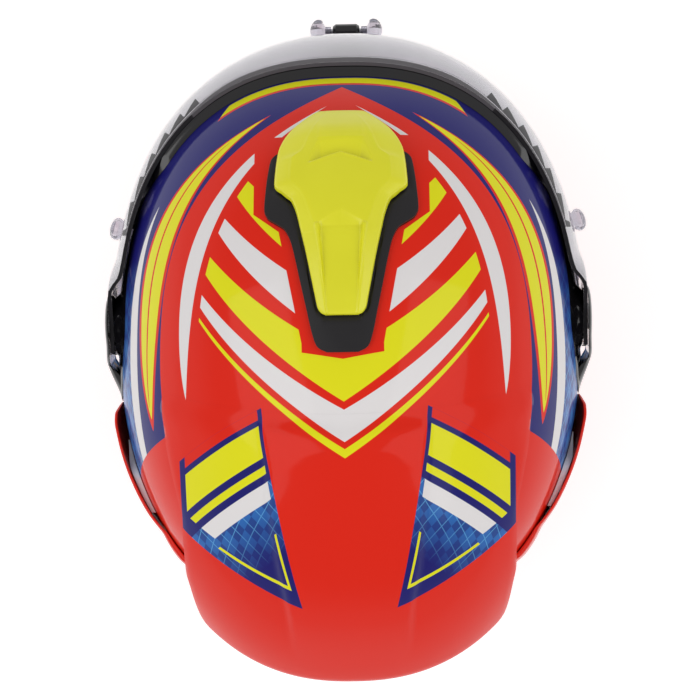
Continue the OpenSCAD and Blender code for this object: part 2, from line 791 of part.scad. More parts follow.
function visor_width(z) =
    half_width(z, 0) + visor_gap + visor_wall + 1.6 * ease((z - widest_z) / 64);

function visor_skin(a, z, g) =
    let (e = 2 / squareness(z),
         x = (visor_width(z) + g) * signed_pow(cos(a), e),
         y = -(visor_reach(z) + g) * signed_pow(sin(a), e),
         ear = ease((37 - norm([y - pivot_y, z - pivot_z])) / 12),
         flat = g < 0 ? ear_inner : ear_outer)
    [sign(x) * mix(abs(x), flat, ear), y, z];

module visor() {
  columns = 38;
  rows = 8;
  spread = 90 + asin(pow((ear_back + pivot_y) / visor_front, squareness(pivot_z) / 2));
  function fold(a) = 0.45 + 0.55 * ease((spread - abs(a - front_angle)) / 14);
  function grid(g) = [
    for (i = [0:rows])
      [for (j = [0:columns])
        let (a = front_angle - spread + 2 * spread * j / columns,
             mid = port_middle(a), tall = (visor_top(a) - visor_bottom(a)) / 2 * fold(a))
        visor_skin(a, mid + tall * (2 * i / rows - 1), g)]
  ];
  color(clear) placed() difference() {
    between(grid(0), grid(-visor_wall));
    for (m = [0, 1]) mirror([m, 0, 0]) on_pivot(ear_inner - 2)
      cylinder(r = hub_radius + hub_clearance, h = visor_wall + 4, $fn = 64);
  }
}

// Posts that hold tear-off films, one on each side of the visor
post_angle = 19.5;
post_z = widest_z + 12;

module tear_off_posts() {
  p = visor_skin(post_angle, post_z, 0);
  q = visor_skin(post_angle + 4, post_z, 0);
  turn = atan2(q[0] - p[0], p[1] - q[1]);
  outline = [
    [0, 0], [4.4, 0], [4.4, 1.2], [2.6, 1.8], [2.6, 4.2], [5.9, 4.8], [6.4, 5.6], [5.9, 6.6], [0, 7]
  ];
  color(clear) placed() for (m = [0, 1]) mirror([m, 0, 0])
    translate(p) rotate([0, 90, turn]) translate([0, 0, seat]) rotate_extrude($fn = 48) polygon(outline);
}

// Clear knobs in front of the visor, by which it is lifted
module across(x) translate([x, latch_y, latch_z]) rotate([0, 90, 0]) children();

module lift_knobs() color(clear) placed() {
  neck = 2.4;
  r = knob_radius;
  w = knob_width;
  for (m = [0, 1]) mirror([m, 0, 0]) across(roller_length / 2 + 1) difference() {
    rotate_extrude($fn = 48)
      polygon([[0, 0], [neck, 0], [neck, roller_side_gap - 1.6], [r - 0.8, roller_side_gap - 1],
               [r, roller_side_gap], [r, roller_side_gap + w * 0.35],
               [r - 1, roller_side_gap + w * 0.45], [r - 1, roller_side_gap + w * 0.55],
               [r, roller_side_gap + w * 0.65], [r, roller_side_gap + w - 1.2],
               [r - 1.2, roller_side_gap + w - 1], [0, roller_side_gap + w - 1]]);
    translate([0, 0, -1]) cylinder(r = pin_radius, h = roller_side_gap + 3, $fn = 32);
  }
}

module latch_pin() color(steel) placed() {
  half = roller_length / 2 + roller_side_gap;
  across(-half) cylinder(r = pin_radius, h = 2 * half, $fn = 32);
}

module latch_roller() color(black) placed() {
  r = roller_radius;
  half = roller_length / 2;
  across(0) rotate_extrude($fn = 64)
    polygon([[pin_radius + fit, -half], [r - 1.2, -half], [r, -half + 1.6], [r, half - 1.6],
             [r - 1.2, half], [pin_radius + fit, half]]);
}

// Saddle on the chin bar that the latch roller snaps into
module latch_catch() color(black) placed() {
  half = 9;
  foot_z = step_low - 6;
  foot_y = face_y(half, foot_z, 0.4);
  difference() {
    translate([-half, 0, 0]) rotate([90, 0, 90]) linear_extrude(2 * half)
      polygon([[foot_y, foot_z - 4], [foot_y - 3, foot_z - 4], [latch_y - 2, latch_z - 6],
               [latch_y - 2, latch_z - roller_radius + 0.6], [latch_y + 2.2, latch_z - roller_radius + 0.6],
               [foot_y, foot_z + 3]]);
    across(-half - 1) cylinder(r = roller_radius + seat, h = 2 * half + 2, $fn = 64);
  }
}

// Chin strap halves: flat webbing that runs down between the shell and the cheek pad,
// then inward under the pad
strap_heights = [66, 56, 46, 36, 26];
strap_turn = side_x(strap_y, cheek_low, -(shell_wall + strap_gap + strap_wall / 2));
strap_drop = concat(
  [for (z = strap_heights) [side_x(strap_y, z, -(shell_wall + strap_gap + strap_wall / 2)), z]],
  [[strap_turn, cheek_low + 1], [strap_turn - 3.5, cheek_low - 3.8], [strap_turn - 9.5, cheek_low - 6.4],
   [strap_turn - 19, strap_low]]);

module webbing(points) {
  last = len(points) - 1;
  function turn(i) =
      let (d = points[min(i + 1, last)] - points[max(i - 1, 0)], n = [d[1], -d[0]] / norm(d))
      n * strap_wall / 2;
  rings = [
    for (i = [0:last])
      let (p = points[i] + turn(i), q = points[i] - turn(i), w = strap_width / 2)
      [[q[0], strap_y - w, q[1]], [q[0], strap_y + w, q[1]],
       [p[0], strap_y + w, p[1]], [p[0], strap_y - w, p[1]]]
  ];
  swept(rings);
}

// Loop at the end of the left half, which holds the D rings
module strap_loop() translate([ring_hinge_x, strap_y + strap_width / 2, ring_hinge_z]) rotate([90, 0, 0])
  difference() {
    cylinder(r = loop_radius + strap_wall, h = strap_width, $fn = 48);
    translate([0, 0, -1]) cylinder(r = loop_radius, h = strap_width + 2, $fn = 48);
  }

module strap_left() color(cloth) placed() {
  webbing(concat(strap_drop, [[ring_hinge_x + loop_radius + strap_wall, strap_low]]));
  strap_loop();
}

// The right half's free end is folded back under itself, as it is when it is snapped shut
module strap_right() color(cloth) placed() mirrored() {
  fold = strap_wall / 2 + 0.2;
  bend = ring_hinge_x - 8;
  turn = [for (b = [90:36:270]) [bend + fold * cos(b), strap_low - fold + fold * sin(b)]];
  webbing(concat(strap_drop, turn, [[bend + 34, strap_low - 2 * fold]]));
}

module strap_anchors() color(steel) placed() {
  p = strap_drop[1];
  lean = atan2(strap_drop[0][0] - strap_drop[2][0], strap_heights[0] - strap_heights[2]);
  for (m = [0, 1]) mirror([m, 0, 0])
    translate([p[0], strap_y, p[1]]) rotate([0, lean - 90, 0])
      translate([0, 0, strap_wall / 2 + 0.2]) cylinder(r = 5, h = anchor_wall, $fn = 32);
}

// Pair of D rings that hang from the left strap half, each bent from one wire
module d_ring() {
  bend = ring_radius - strap_width / 2;
  half = strap_width / 2;
  translate([-half, 0, 0]) rotate([0, 90, 0]) cylinder(r = ring_wire, h = 2 * half, $fn = 24);
  for (m = [0, 1]) mirror([m, 0, 0]) translate([half, bend, 0]) rotate([0, 0, -90])
    rotate_extrude(angle = 90, $fn = 48) translate([bend, 0]) circle(r = ring_wire, $fn = 24);
  translate([0, bend, 0]) rotate_extrude(angle = 180, $fn = 48)
    translate([ring_radius, 0]) circle(r = ring_wire, $fn = 24);
}

module d_rings() color(steel) placed()
  translate([ring_hinge_x, strap_y, ring_hinge_z]) rotate([0, -ring_droop, 0])
    for (k = [-1, 1]) translate([0, 0, k * (ring_wire + 0.02)]) rotate([0, 0, 90]) d_ring();

// Pull tab by which a cheek pad is drawn out in an emergency
module pull_tab_left() color("red") placed() {
  half = 6;
  wall = 1;
  lean = 0.178;
  // across, depth, and how far the middle of the tab lies under the pad's lowest level
  route = [[84, -24, -3], [84, -30, -3.3], [84.5, -38, -1.5], [85, -50, 1]];
  rings = [
    for (p = route)
      let (z = cheek_low - p[2], near = z + lean * half, far = z - lean * half)
      [[p[0] - half, p[1], near], [p[0] + half, p[1], far],
       [p[0] + half, p[1], far - wall], [p[0] - half, p[1], near - wall]]
  ];
  swept(rings);
}

module pull_tab_right() mirrored() pull_tab_left();

outer_shell();
edge_trim();
eyeport_gasket();
impact_liner();
chin_liner();
crown_pad();
cheek_pad_left();
cheek_pad_right();
neck_roll();
breath_guard();
chin_curtain();
vent_frame();
vent_cover();
rear_spoiler();
rear_grille();
side_fin_left();
side_fin_right();
exhaust_duct_left();
exhaust_duct_right();
chin_vent_frame();
chin_vent_mesh();
chin_vent_shutter();
pivot_base_left();
pivot_base_right();
pivot_hub_left();
pivot_hub_right();
pivot_screws();
side_pod_left();
side_pod_right();
visor();
tear_off_posts();
lift_knobs();
latch_roller();
latch_pin();
latch_catch();
strap_left();
strap_right();
strap_anchors();
d_rings();
pull_tab_left();
pull_tab_right();
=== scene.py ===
"""Looks of the full face motorcycle helmet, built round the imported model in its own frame."""

import math

import bpy
import numpy as np
from mathutils import Matrix, Vector


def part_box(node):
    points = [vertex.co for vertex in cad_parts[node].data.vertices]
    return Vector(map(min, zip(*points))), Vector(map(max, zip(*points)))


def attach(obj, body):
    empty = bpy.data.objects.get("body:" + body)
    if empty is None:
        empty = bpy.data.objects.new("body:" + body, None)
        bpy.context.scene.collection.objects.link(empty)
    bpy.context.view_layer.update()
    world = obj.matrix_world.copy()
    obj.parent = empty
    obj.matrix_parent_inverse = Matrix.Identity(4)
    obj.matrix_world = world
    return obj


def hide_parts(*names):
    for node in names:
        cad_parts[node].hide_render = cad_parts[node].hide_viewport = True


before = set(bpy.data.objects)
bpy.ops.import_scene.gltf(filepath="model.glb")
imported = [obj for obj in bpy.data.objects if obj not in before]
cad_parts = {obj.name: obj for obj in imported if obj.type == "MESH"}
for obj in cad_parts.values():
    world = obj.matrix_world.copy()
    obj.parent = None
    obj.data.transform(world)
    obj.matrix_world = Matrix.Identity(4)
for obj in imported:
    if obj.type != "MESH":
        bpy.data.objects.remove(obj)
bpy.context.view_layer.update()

# Sizes in millimetres, the same named values as in the part's source
MM = 0.001
SHELL_HALF_WIDTH = 125.0
SHELL_FRONT = 154.0
SHELL_REAR = 157.0
WIDEST_Z = 120.0
CROWN_Z = 255.0
SHELL_WALL = 3.0
SIDE_TUCK = 17.0
NECK_TUCK = 27.0
CHIN_OUT = 20.0
VISOR_STEP = 5.0
CHIN_FROM, CHIN_RUN = 185.0, 125.0
CHIN_ROUND, CHIN_ROUND_FROM = 20.0, 55.0
STEP_LOW, STEP_RUN = 76.0, 8.0
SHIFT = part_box("outer_shell")[1].y / MM - SHELL_REAR

TRIM_DROP, TRIM_OUT, TRIM_HEIGHT = 2.5, 1.6, 7.5
SEAT = 0.3

VISOR_LOW, VISOR_HIGH = 86.0, 186.0
VISOR_SIDE_LOW, VISOR_SIDE_HIGH = WIDEST_Z - 3, WIDEST_Z + 43
VISOR_LAP, VISOR_WALL, VISOR_GAP = 9.0, 2.0, 2.4
VISOR_FRONT = SHELL_FRONT + CHIN_OUT
VISOR_LEAN = 31.4987
FRONT_ANGLE = 90.0
PORT_HALF_ANGLE, PORT_END_SHARE = 66.0, 0.55

PIVOT_Y, PIVOT_Z = -10.0, WIDEST_Z + 20
EAR_BACK, EAR_RADIUS = 16.0, 19.0
EAR_INNER = SHELL_HALF_WIDTH + 0.9
EAR_OUTER = EAR_INNER + VISOR_WALL
HUB_RADIUS, HUB_CLEARANCE = 7.0, 0.05
HUB_TOP = EAR_OUTER + 0.3

LINER_GAP, LINER_WALL, LINER_NAPE = 0.6, 33.0, 38.0
LINER_OUTER = -(SHELL_WALL + LINER_GAP)
LINER_INNER = LINER_OUTER - LINER_WALL
CROWN_PAD_WALL = 9.0
CHIN_LINER_WALL, CHIN_LINER_HALF_ANGLE = 15.0, 54.0
CHEEK_FACE, CHEEK_LOW, CHEEK_HIGH, CHEEK_BACK, CHEEK_FRONT = 66.0, 18.0, 98.0, 36.0, -78.0
NECK_ROLL_RADIUS = 10.0
CHIN_VENT_ANGLE = 12.0

COVER_HALF_WIDTH, COVER_HEIGHT, FRAME_MARGIN, FRAME_WALL = 33.6, 9.0, 5.2, 2.0
SLIDE_CLEARANCE, COVER_SKIRT = 0.85, 1.0
COVER_FOOT = SEAT + FRAME_WALL + SLIDE_CLEARANCE

SPOILER_HALF_WIDTH, SPOILER_EDGE, SPINE_HEIGHT = 96.0, 1.5, 2.2
PANEL_SEAT = 0.5
TAIL_REACH, TAIL_RUN_IN = 27.0, 1.8
FIN_STAND, FIN_WALL = 4.6, 2.0

STRAP_Y, STRAP_WIDTH, STRAP_WALL, STRAP_GAP = -6.0, 24.0, 2.0, 1.0
STRAP_LOW = CHEEK_LOW - 7.4
GASKET_BAND, GASKET_TOP = 5.0, 8.6
RING_WIRE, RING_HINGE_X, RING_HINGE_Z = 1.6, 70.0, STRAP_LOW + 0.4
LOOP_RADIUS = 2 * RING_WIRE + 0.2

# Cloth simulation of the pads
AIR_PRESSURE, AIR_FRAMES = 4.0, 20
# Livery: how far a radian round the form's middle line reaches, and where the field's edge starts
ARC_RADIUS, FIELD_REACH = 130.0, 111.0


# Outer form of the helmet, as the part's source has it. Angles are in degrees and arrays are welcome.
def ease(t):
    c = np.clip(t, 0.0, 1.0)
    return c * c * (3 - 2 * c)


def mix(a, b, t):
    return a + (b - a) * t


def points(*coordinates):
    """Points from arrays of their coordinates."""
    return np.stack(np.broadcast_arrays(*coordinates), -1)


def row(*span):
    """Positions along the rows of a grid, from start, stop and count."""
    return np.linspace(*span)[None, :]


def column(*span):
    return np.linspace(*span)[:, None]


def sin(a):
    return np.sin(np.radians(a))


def cos(a):
    return np.cos(np.radians(a))


def narrowing(z, g):
    t = (z - WIDEST_Z) / (CROWN_Z + g - WIDEST_Z)
    return np.where(z <= WIDEST_Z, 1.0, np.sqrt(np.maximum(0.0, 1 - t * t)))


def depth_below(z):
    return np.maximum(0.0, (WIDEST_Z - z) / WIDEST_Z)


def squareness(z):
    return 2.1 + 0.3 * ease((z - 100) / 80) - 0.4 * ease((z - 185) / 70)


def half_width(z, g):
    return (SHELL_HALF_WIDTH + g) * narrowing(z, g) - SIDE_TUCK * depth_below(z) ** 2.2


def front_reach(z, g):
    chin = CHIN_OUT * ease((CHIN_FROM - z) / CHIN_RUN)
    step = VISOR_STEP * ease((z - STEP_LOW) / STEP_RUN) * ease((CHIN_FROM - z) / 60)
    under = CHIN_ROUND * ease((CHIN_ROUND_FROM - z) / CHIN_ROUND_FROM)
    return (SHELL_FRONT + g) * narrowing(z, g) + chin - step - under


def rear_reach(z, g):
    return (SHELL_REAR + g) * narrowing(z, g) - NECK_TUCK * depth_below(z) ** 1.8


def signed_pow(v, e):
    return np.sign(v) * np.abs(v) ** e


def skin(a, z, g):
    """Point on the shell at an angle and a height, grown outward by g."""
    e = 2 / squareness(z)
    reach = np.where(sin(a) > 0, front_reach(z, g), rear_reach(z, g))
    return points(half_width(z, g) * signed_pow(cos(a), e), -reach * signed_pow(sin(a), e), z)


def shoulder(ratio, z):
    """Share of the half width that a level has at a share of its reach, or the other way round."""
    p = squareness(z)
    return np.maximum(0.0, 1 - np.abs(ratio) ** p) ** (1 / p)


def side_x(y, z, g):
    reach = np.where(np.asarray(y) < 0, front_reach(z, g), rear_reach(z, g))
    return half_width(z, g) * shoulder(y / reach, z)


def face_y(x, z, g):
    return -front_reach(z, g) * shoulder(x / half_width(z, g), z)


def arch(x, phi, longest=260.0, halvings=34):
    """Distance from the widest level's middle to the shell, over the crown, at a width and an angle."""
    x, phi = np.broadcast_arrays(np.asarray(x, float), np.asarray(phi, float))
    low, high = np.zeros(x.shape), np.full(x.shape, longest)
    for _ in range(halvings):
        mid = (low + high) / 2
        y, z = -mid * cos(phi), WIDEST_Z + mid * sin(phi)
        level = np.minimum(z, CROWN_Z - 1e-6)
        wide = np.maximum(half_width(level, 0.0), 1e-6)
        reach = np.maximum(np.where(y < 0, front_reach(level, 0.0), rear_reach(level, 0.0)), 1e-6)
        p = squareness(level)
        out = (z >= CROWN_Z) | ((np.abs(x) / wide) ** p + (np.abs(y) / reach) ** p > 1)
        high, low = np.where(out, mid, high), np.where(out, low, mid)
    return (low + high) / 2


def over(x, phi, h):
    """Point over the crown, lifted by h from the shell. phi is 0 in front, 90 at the crown, 180 behind."""
    r = arch(x, phi) + h
    return points(x, -r * cos(phi), WIDEST_Z + r * sin(phi))


def brow(a):
    return np.maximum(0.0, sin(a)) ** 0.6


def visor_top(a):
    return mix(VISOR_SIDE_HIGH, VISOR_HIGH, brow(a))


def visor_bottom(a):
    return mix(VISOR_SIDE_LOW, VISOR_LOW, brow(a))


def port_middle(a):
    return (visor_top(a) + visor_bottom(a)) / 2


def port_edge(a, side):
    share = PORT_END_SHARE + (1 - PORT_END_SHARE) * ease((PORT_HALF_ANGLE - np.abs(a - FRONT_ANGLE)) / 14)
    return port_middle(a) + side * share * ((visor_top(a) - visor_bottom(a)) / 2 - VISOR_LAP)


# Meshes
def added(name, data):
    """New object in the scene."""
    obj = bpy.data.objects.new(name, data)
    bpy.context.scene.collection.objects.link(obj)
    return obj


def build(name, verts, faces, kinds=None, sharp=35):
    """Smooth mesh object from points in millimetres, moved into the frame. kinds gives each face's material."""
    mesh = bpy.data.meshes.new(name)
    places = (np.asarray(verts, float) + (0, SHIFT, 0)) * MM
    mesh.from_pydata(places.tolist(), [], [tuple(int(i) for i in f) for f in faces])
    mesh.flip_normals()
    if kinds is not None:
        mesh.polygons.foreach_set("material_index", list(kinds))
    mesh.shade_smooth()
    mesh.set_sharp_from_angle(angle=math.radians(sharp))
    return added(name, mesh)


def between(name, front, back, closed=False, poles=(), keep=None, sharp=35):
    """Closed solid between two grids of points. Cells where keep is false are left open.
    The front faces take the first material, the back and the edges take the second if there is one."""
    rows, cols = front.shape[:2]
    cells = cols if closed else cols - 1
    keep = np.ones((rows - 1, cells), bool) if keep is None else keep
    base = rows * cols
    faces, kinds = [], []

    def kept(i, j):
        if len(poles) and i == rows - 1:
            return True
        if i < 0 or i > rows - 2 or (not closed and not 0 <= j < cells):
            return False
        return keep[i, j % cells]

    for i in range(rows - 1):
        for j in range(cells):
            if not keep[i, j]:
                continue
            k = (j + 1) % cols
            a, b, c, d = i * cols + j, i * cols + k, (i + 1) * cols + k, (i + 1) * cols + j
            faces += [(a, b, c, d), (base + d, base + c, base + b, base + a)]
            kinds += [0, 1]
            for down, aside, p, q in ((-1, 0, b, a), (0, 1, c, b), (1, 0, d, c), (0, -1, a, d)):
                if not kept(i + down, j + aside):
                    faces.append((p, q, base + q, base + p))
                    kinds.append(1)
    if len(poles):
        for j in range(cells):
            a, b = (rows - 1) * cols + j, (rows - 1) * cols + (j + 1) % cols
            faces += [(a, b, 2 * base), (base + b, base + a, 2 * base + 1)]
            kinds += [0, 1]
    verts = np.concatenate([front.reshape(-1, 3), back.reshape(-1, 3), np.reshape(poles, (-1, 3))])
    return build(name, verts, faces, kinds, sharp)


def swept(name, rings, closed=False, sharp=35):
    """Closed solid along rings of points. The ends of an open sweep are capped."""
    count, sides = rings.shape[:2]
    faces = []
    for i in range(count if closed else count - 1):
        for j in range(sides):
            n, k = (i + 1) % count, (j + 1) % sides
            faces.append((i * sides + j, i * sides + k, n * sides + k, n * sides + j))
    if not closed:
        faces.append(tuple(range(sides - 1, -1, -1)))
        faces.append(tuple(range((count - 1) * sides, count * sides)))
    return build(name, rings.reshape(-1, 3), faces, None, sharp)


def mirrored(name, source):
    """Copy of a left piece on the right side."""
    obj = source.copy()
    obj.name, obj.data = name, source.data.copy()
    obj.data.name = name
    obj.data.transform(Matrix.Scale(-1, 4, (1, 0, 0)))
    obj.data.flip_normals()
    bpy.context.scene.collection.objects.link(obj)
    return obj


def rounded(obj, width, segments=2):
    """Rounds the sharp edges of a piece."""
    bevel = obj.modifiers.new("round_edges", "BEVEL")
    bevel.width, bevel.segments = width * MM, segments
    bevel.limit_method, bevel.angle_limit = "ANGLE", math.radians(40)
    return obj


def place(obj, slot, materials, *nodes, body="helmet"):
    """Gives a piece its materials, rides it on its body, and stands it in for CAD nodes."""
    for material in materials:
        obj.data.materials.append(material)
    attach(obj, body)
    if nodes:
        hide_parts(*nodes)
    return obj


def place_pair(obj, slot, materials, *nodes, body="helmet"):
    """Places a left piece, and its mirrored copy for the nodes on the right."""
    twin = mirrored(obj.name.replace("left", "right"), obj)
    place(obj, slot, materials, *nodes, body=body)
    return place(twin, slot, materials, *(n.replace("left", "right") for n in nodes if "left" in n), body=body)


# Materials
def feed(tree, slot, value):
    """Links a signal or a socket to a slot, or sets the slot to a plain value."""
    if isinstance(value, Signal):
        tree.links.new(value.socket, slot)
    elif isinstance(value, bpy.types.NodeSocket):
        tree.links.new(value, slot)
    else:
        slot.default_value = value


def maths(kind):
    return lambda self, *others: self.op(kind, *others)


class Signal:
    """A value in a material's node tree, with the usual operators."""

    def __init__(self, tree, socket):
        self.tree, self.socket = tree, socket

    def op(self, kind, *others, clamp=False):
        node = self.tree.nodes.new("ShaderNodeMath")
        node.operation, node.use_clamp = kind, clamp
        for slot, value in zip(node.inputs, (self, *others)):
            feed(self.tree, slot, value)
        return Signal(self.tree, node.outputs[0])

    __add__ = __radd__ = maths("ADD")
    __mul__ = __rmul__ = maths("MULTIPLY")
    __sub__, __truediv__, __pow__ = maths("SUBTRACT"), maths("DIVIDE"), maths("POWER")
    __abs__, lower, higher = maths("ABSOLUTE"), maths("MINIMUM"), maths("MAXIMUM")
    sine = maths("SINE")

    def __rsub__(self, other):
        return self * -1.0 + other

    def clamped(self, shift=0.0):
        """The value with a shift, kept within 0 and 1."""
        return self.op("ADD", shift, clamp=True)

    def ramp(self, start, run):
        """0 up to the start, 1 from a run beyond it."""
        return ((self - start) * (1 / run)).clamped()

    def under(self, limit, soft=0.25):
        """1 where the value is under the limit, with a soft edge."""
        return ((limit - self) * (1 / soft)).clamped(0.5)

    def over(self, limit, soft=0.25):
        return ((self - limit) * (1 / soft)).clamped(0.5)

    def within(self, low, high):
        return self.over(low) * self.under(high)


class Look:
    """A Principled material and the signals that its textures are made from."""

    def __init__(self, name, colour, rough, **sockets):
        self.material = bpy.data.materials.new(name)
        self.material.use_nodes = True
        self.tree = self.material.node_tree
        self.shader = self.tree.nodes["Principled BSDF"]
        self.material.diffuse_color = (*colour, 1)
        self.bumps = None
        self.fill(self.shader, Base_Color=(*colour, 1), Roughness=rough, **sockets)

    def fill(self, node, **inputs):
        for key, value in inputs.items():
            feed(self.tree, node.inputs[key.replace("_", " ")], value)
        return node

    def node(self, kind, **inputs):
        return self.fill(self.tree.nodes.new(kind), **inputs)

    def colour(self, socket):
        self.fill(self.shader, Base_Color=socket)

    def rough(self, signal):
        self.fill(self.shader, Roughness=signal)

    def place(self):
        """Object position in millimetres as three signals."""
        place = self.node("ShaderNodeTexCoord").outputs["Object"]
        return [Signal(self.tree, s) / MM for s in self.node("ShaderNodeSeparateXYZ", Vector=place).outputs]

    def scaled(self, *shares):
        """Vector of the place with a share of each axis."""
        axes = [axis * share for axis, share in zip(self.place(), shares)]
        return self.node("ShaderNodeCombineXYZ", **dict(zip("XYZ", axes))).outputs[0]

    def noise(self, scale, detail=3.0, stretch=(1, 1, 1)):
        """Noise with features of about 1/scale mm. Its middle is 0.5."""
        where = self.scaled(*(scale * share for share in stretch))
        node = self.node("ShaderNodeTexNoise", Vector=where, Scale=1.0, Detail=detail)
        return Signal(self.tree, node.outputs[0])

    def blend(self, share, under, over):
        """Colour socket: under where share is 0, over where it is 1. Colours are tuples or sockets."""
        node = self.tree.nodes.new("ShaderNodeMix")
        node.data_type = "RGBA"
        feed(self.tree, node.inputs[0], share)
        for slot, value in ((node.inputs[6], under), (node.inputs[7], over)):
            feed(self.tree, slot, (*value, 1) if isinstance(value, tuple) else value)
        return node.outputs[2]

    def bump(self, height, depth, strength=1.0):
        """Adds relief. height is a signal and depth its reach in millimetres."""
        node = self.node("ShaderNodeBump", Strength=strength, Distance=depth * MM, Height=height)
        if self.bumps is not None:
            self.fill(node, Normal=self.bumps)
        self.bumps = node.outputs[0]
        self.fill(self.shader, Normal=self.bumps)


def linear(r, g, b):
    """Linear colour from display values of 0 to 255."""
    def one(v):
        v /= 255
        return v / 12.92 if v <= 0.04045 else ((v + 0.055) / 1.055) ** 2.4
    return one(r), one(g), one(b)


RED = linear(232, 38, 18)
YELLOW = linear(236, 232, 28)
WHITE = linear(236, 232, 232)
NAVY = linear(30, 28, 112)
BLUE = linear(52, 118, 196)
PALE_BLUE = linear(96, 168, 222)


def livery(look):
    """Painted design: a navy field that sweeps back from the brow, tapered stripes beside it,
    nested chevrons round the vent, slanted bars on the shoulders and a diamond lattice on the sides."""
    x, y, z = look.place()
    across = abs(x).op("ARCTAN2", z - WIDEST_Z) * ARC_RADIUS
    side = across - (FIELD_REACH - ((y + 126) * (-1 / 38)).op("EXPONENT") * FIELD_REACH)
    colour = RED

    def paint(share, over):
        nonlocal colour
        colour = look.blend(share, colour, over)

    def taper(low, high, power):
        """1 in the middle of a run along the helmet, 0 at both ends."""
        t = y.ramp(low, high - low)
        return (t * (1 - t) * 4) ** power

    def stripe(middle, width, low, high, power=0.8):
        return (abs(side - middle) - taper(low, high, power) * (width / 2)).under(-0.14)

    def lattice(pitch, line):
        one, two = (across + y) * (1 / pitch), (across - y) * (1 / pitch)
        lines = [abs(v.op("FRACT") - 0.5) * pitch for v in (one, two)]
        checks = (one.op("FLOOR") + two.op("FLOOR")).op("MODULO", 2)
        return lines[0].lower(lines[1]).under(line / 2, 0.3), abs(checks).over(0.5, 0.1)

    # Field colours
    belt = z - (66 + y * 0.1)
    navy = side.over(0) * belt.over(0) * (y + (z - 120) * 0.35).under(84)
    slant = y - across * 0.42
    beside = across - (45 - y * 0.05)
    aft = y + across * across * 0.0037
    shoulders = beside.over(0) * slant.over(26) * aft.under(150) * abs(x).under(86)
    navy = navy.higher(shoulders)
    paint(navy, NAVY)

    # Diamond lattice that fades in on the sides and shoulders
    grid, checks = lattice(13, 0.7)
    area = (side.over(30, 2) * belt.over(8, 2) * y.under(96, 30)).higher(
        shoulders * slant.over(62) * slant.under(86, 26)) * navy * y.ramp(-40, 60)
    paint(area * (checks * 0.45 + 0.35), BLUE)
    paint(area * grid * 0.8, PALE_BLUE)

    # Long stripes beside the arch
    paint(stripe(13, 25, -110, 52), RED)
    paint(stripe(13, 20, -108, 46), YELLOW)
    paint(stripe(14, 1.8, -96, 40, 0.3), RED)
    paint(stripe(33, 12, -66, 112) * belt.over(0) * navy, WHITE)
    paint(stripe(-20, 11, -114, 38), WHITE)

    # Chevrons round the vent: each is (place at the middle line, thickness, reach across, colour)
    chevron = y + across * 0.62 + across * across * 0.004
    inside = side.under(-30)
    for start, thick, reach, tone in (
        (-44, 24, 66, YELLOW), (-14, 25, 76, YELLOW), (14, 22, 84, WHITE),
        (42, 24, 92, YELLOW), (62, 16, 96, WHITE), (70, 4.5, 98, YELLOW),
    ):
        share = (1 - across * (1 / reach)).clamped() ** 0.5
        band = chevron.over(start - thick) * chevron.under(start) * (
            chevron - (start - share * thick)).over(0) * share.over(0.02, 0.02)
        paint(band * inside, tone)

    # Red margin round the vent's frame
    margin = 44.5 - (y.ramp(-54, 10) * 13 + y.ramp(-44, 57) * 11 + y.ramp(17.5, 4.5) * 26)
    paint((abs(x) - margin).under(0) * z.over(WIDEST_Z) * y.over(-96), RED)

    # Slanted bars on the shoulders, and a thin line round their field
    for low, high, tone in ((26, 31, RED), (34, 50, YELLOW), (54, 58, YELLOW), (62, 71, WHITE)):
        bar = slant.within(low, high) * beside.over(2.5) * aft.under(137) * abs(x).under(83)
        paint(bar, tone)
    line = (beside.within(4, 5.6) * slant.over(88)).higher(
        aft.within(140, 142) * beside.over(4) * slant.over(76))
    paint(line * shoulders * aft.under(142), YELLOW)

    # Brow stripe over the visor and the belt line round the chin
    forward = ((-1 * y) / ((x * x + y * y) ** 0.5)).higher(0.001)
    height = z - forward ** 0.6 * 23 - 163
    front = y.under(-50, 4)
    for low, high, tone in ((1, 6.5, YELLOW), (6.5, 8, RED)):
        paint(height.within(low, high) * front * across.under(96), tone)
    paint(belt.within(-9, -2) * y.under(80), YELLOW)
    return colour


def painted(name, design=None):
    """Gloss paint, red or with a design."""
    look = Look(name, RED, 0.4, Coat_Weight=0.5, Coat_IOR=1.36, Coat_Roughness=0.08, Specular_IOR_Level=0.05)
    if design:
        look.colour(design(look))
    look.bump(look.noise(0.35, 2.0), 0.05, 0.25)
    return look.material


def darker(colour, share):
    return tuple(value * share for value in colour)


def plain(name, colour, rough, grain=0.0, grain_scale=2.0, variation=0.0, **sockets):
    """Moulded material with fine grain and a slow change of tone."""
    look = Look(name, colour, rough, **sockets)
    if variation:
        look.colour(look.blend(look.noise(0.04, 4.0), darker(colour, 1 - variation), colour))
        look.rough(look.noise(0.12, 3.0) * (0.3 * rough) + 0.85 * rough)
    if grain:
        look.bump(look.noise(grain_scale, 2.0), grain, 0.6)
    return look.material


def cloth(name, colour, pitch, depth, plane, sheen=0.3, variation=0.35):
    """Woven or knitted cloth. plane names the two axes that its threads follow."""
    look = Look(name, colour, 0.85, Sheen_Weight=sheen, Sheen_Roughness=0.4, Specular_IOR_Level=0.25)
    axes = dict(zip("xyz", look.place()))
    u, v = (axes[axis] * (math.tau / pitch) for axis in plane)
    weave = u.sine() * v.sine()
    mottled = look.noise(0.5, 4.0)
    light = (weave * 0.35 + mottled * 0.7).clamped(0.1)
    look.colour(look.blend(light, darker(colour, 1 - variation), colour))
    look.bump(weave, depth, 0.7)
    look.bump(mottled, 0.3, 0.35)
    return look.material


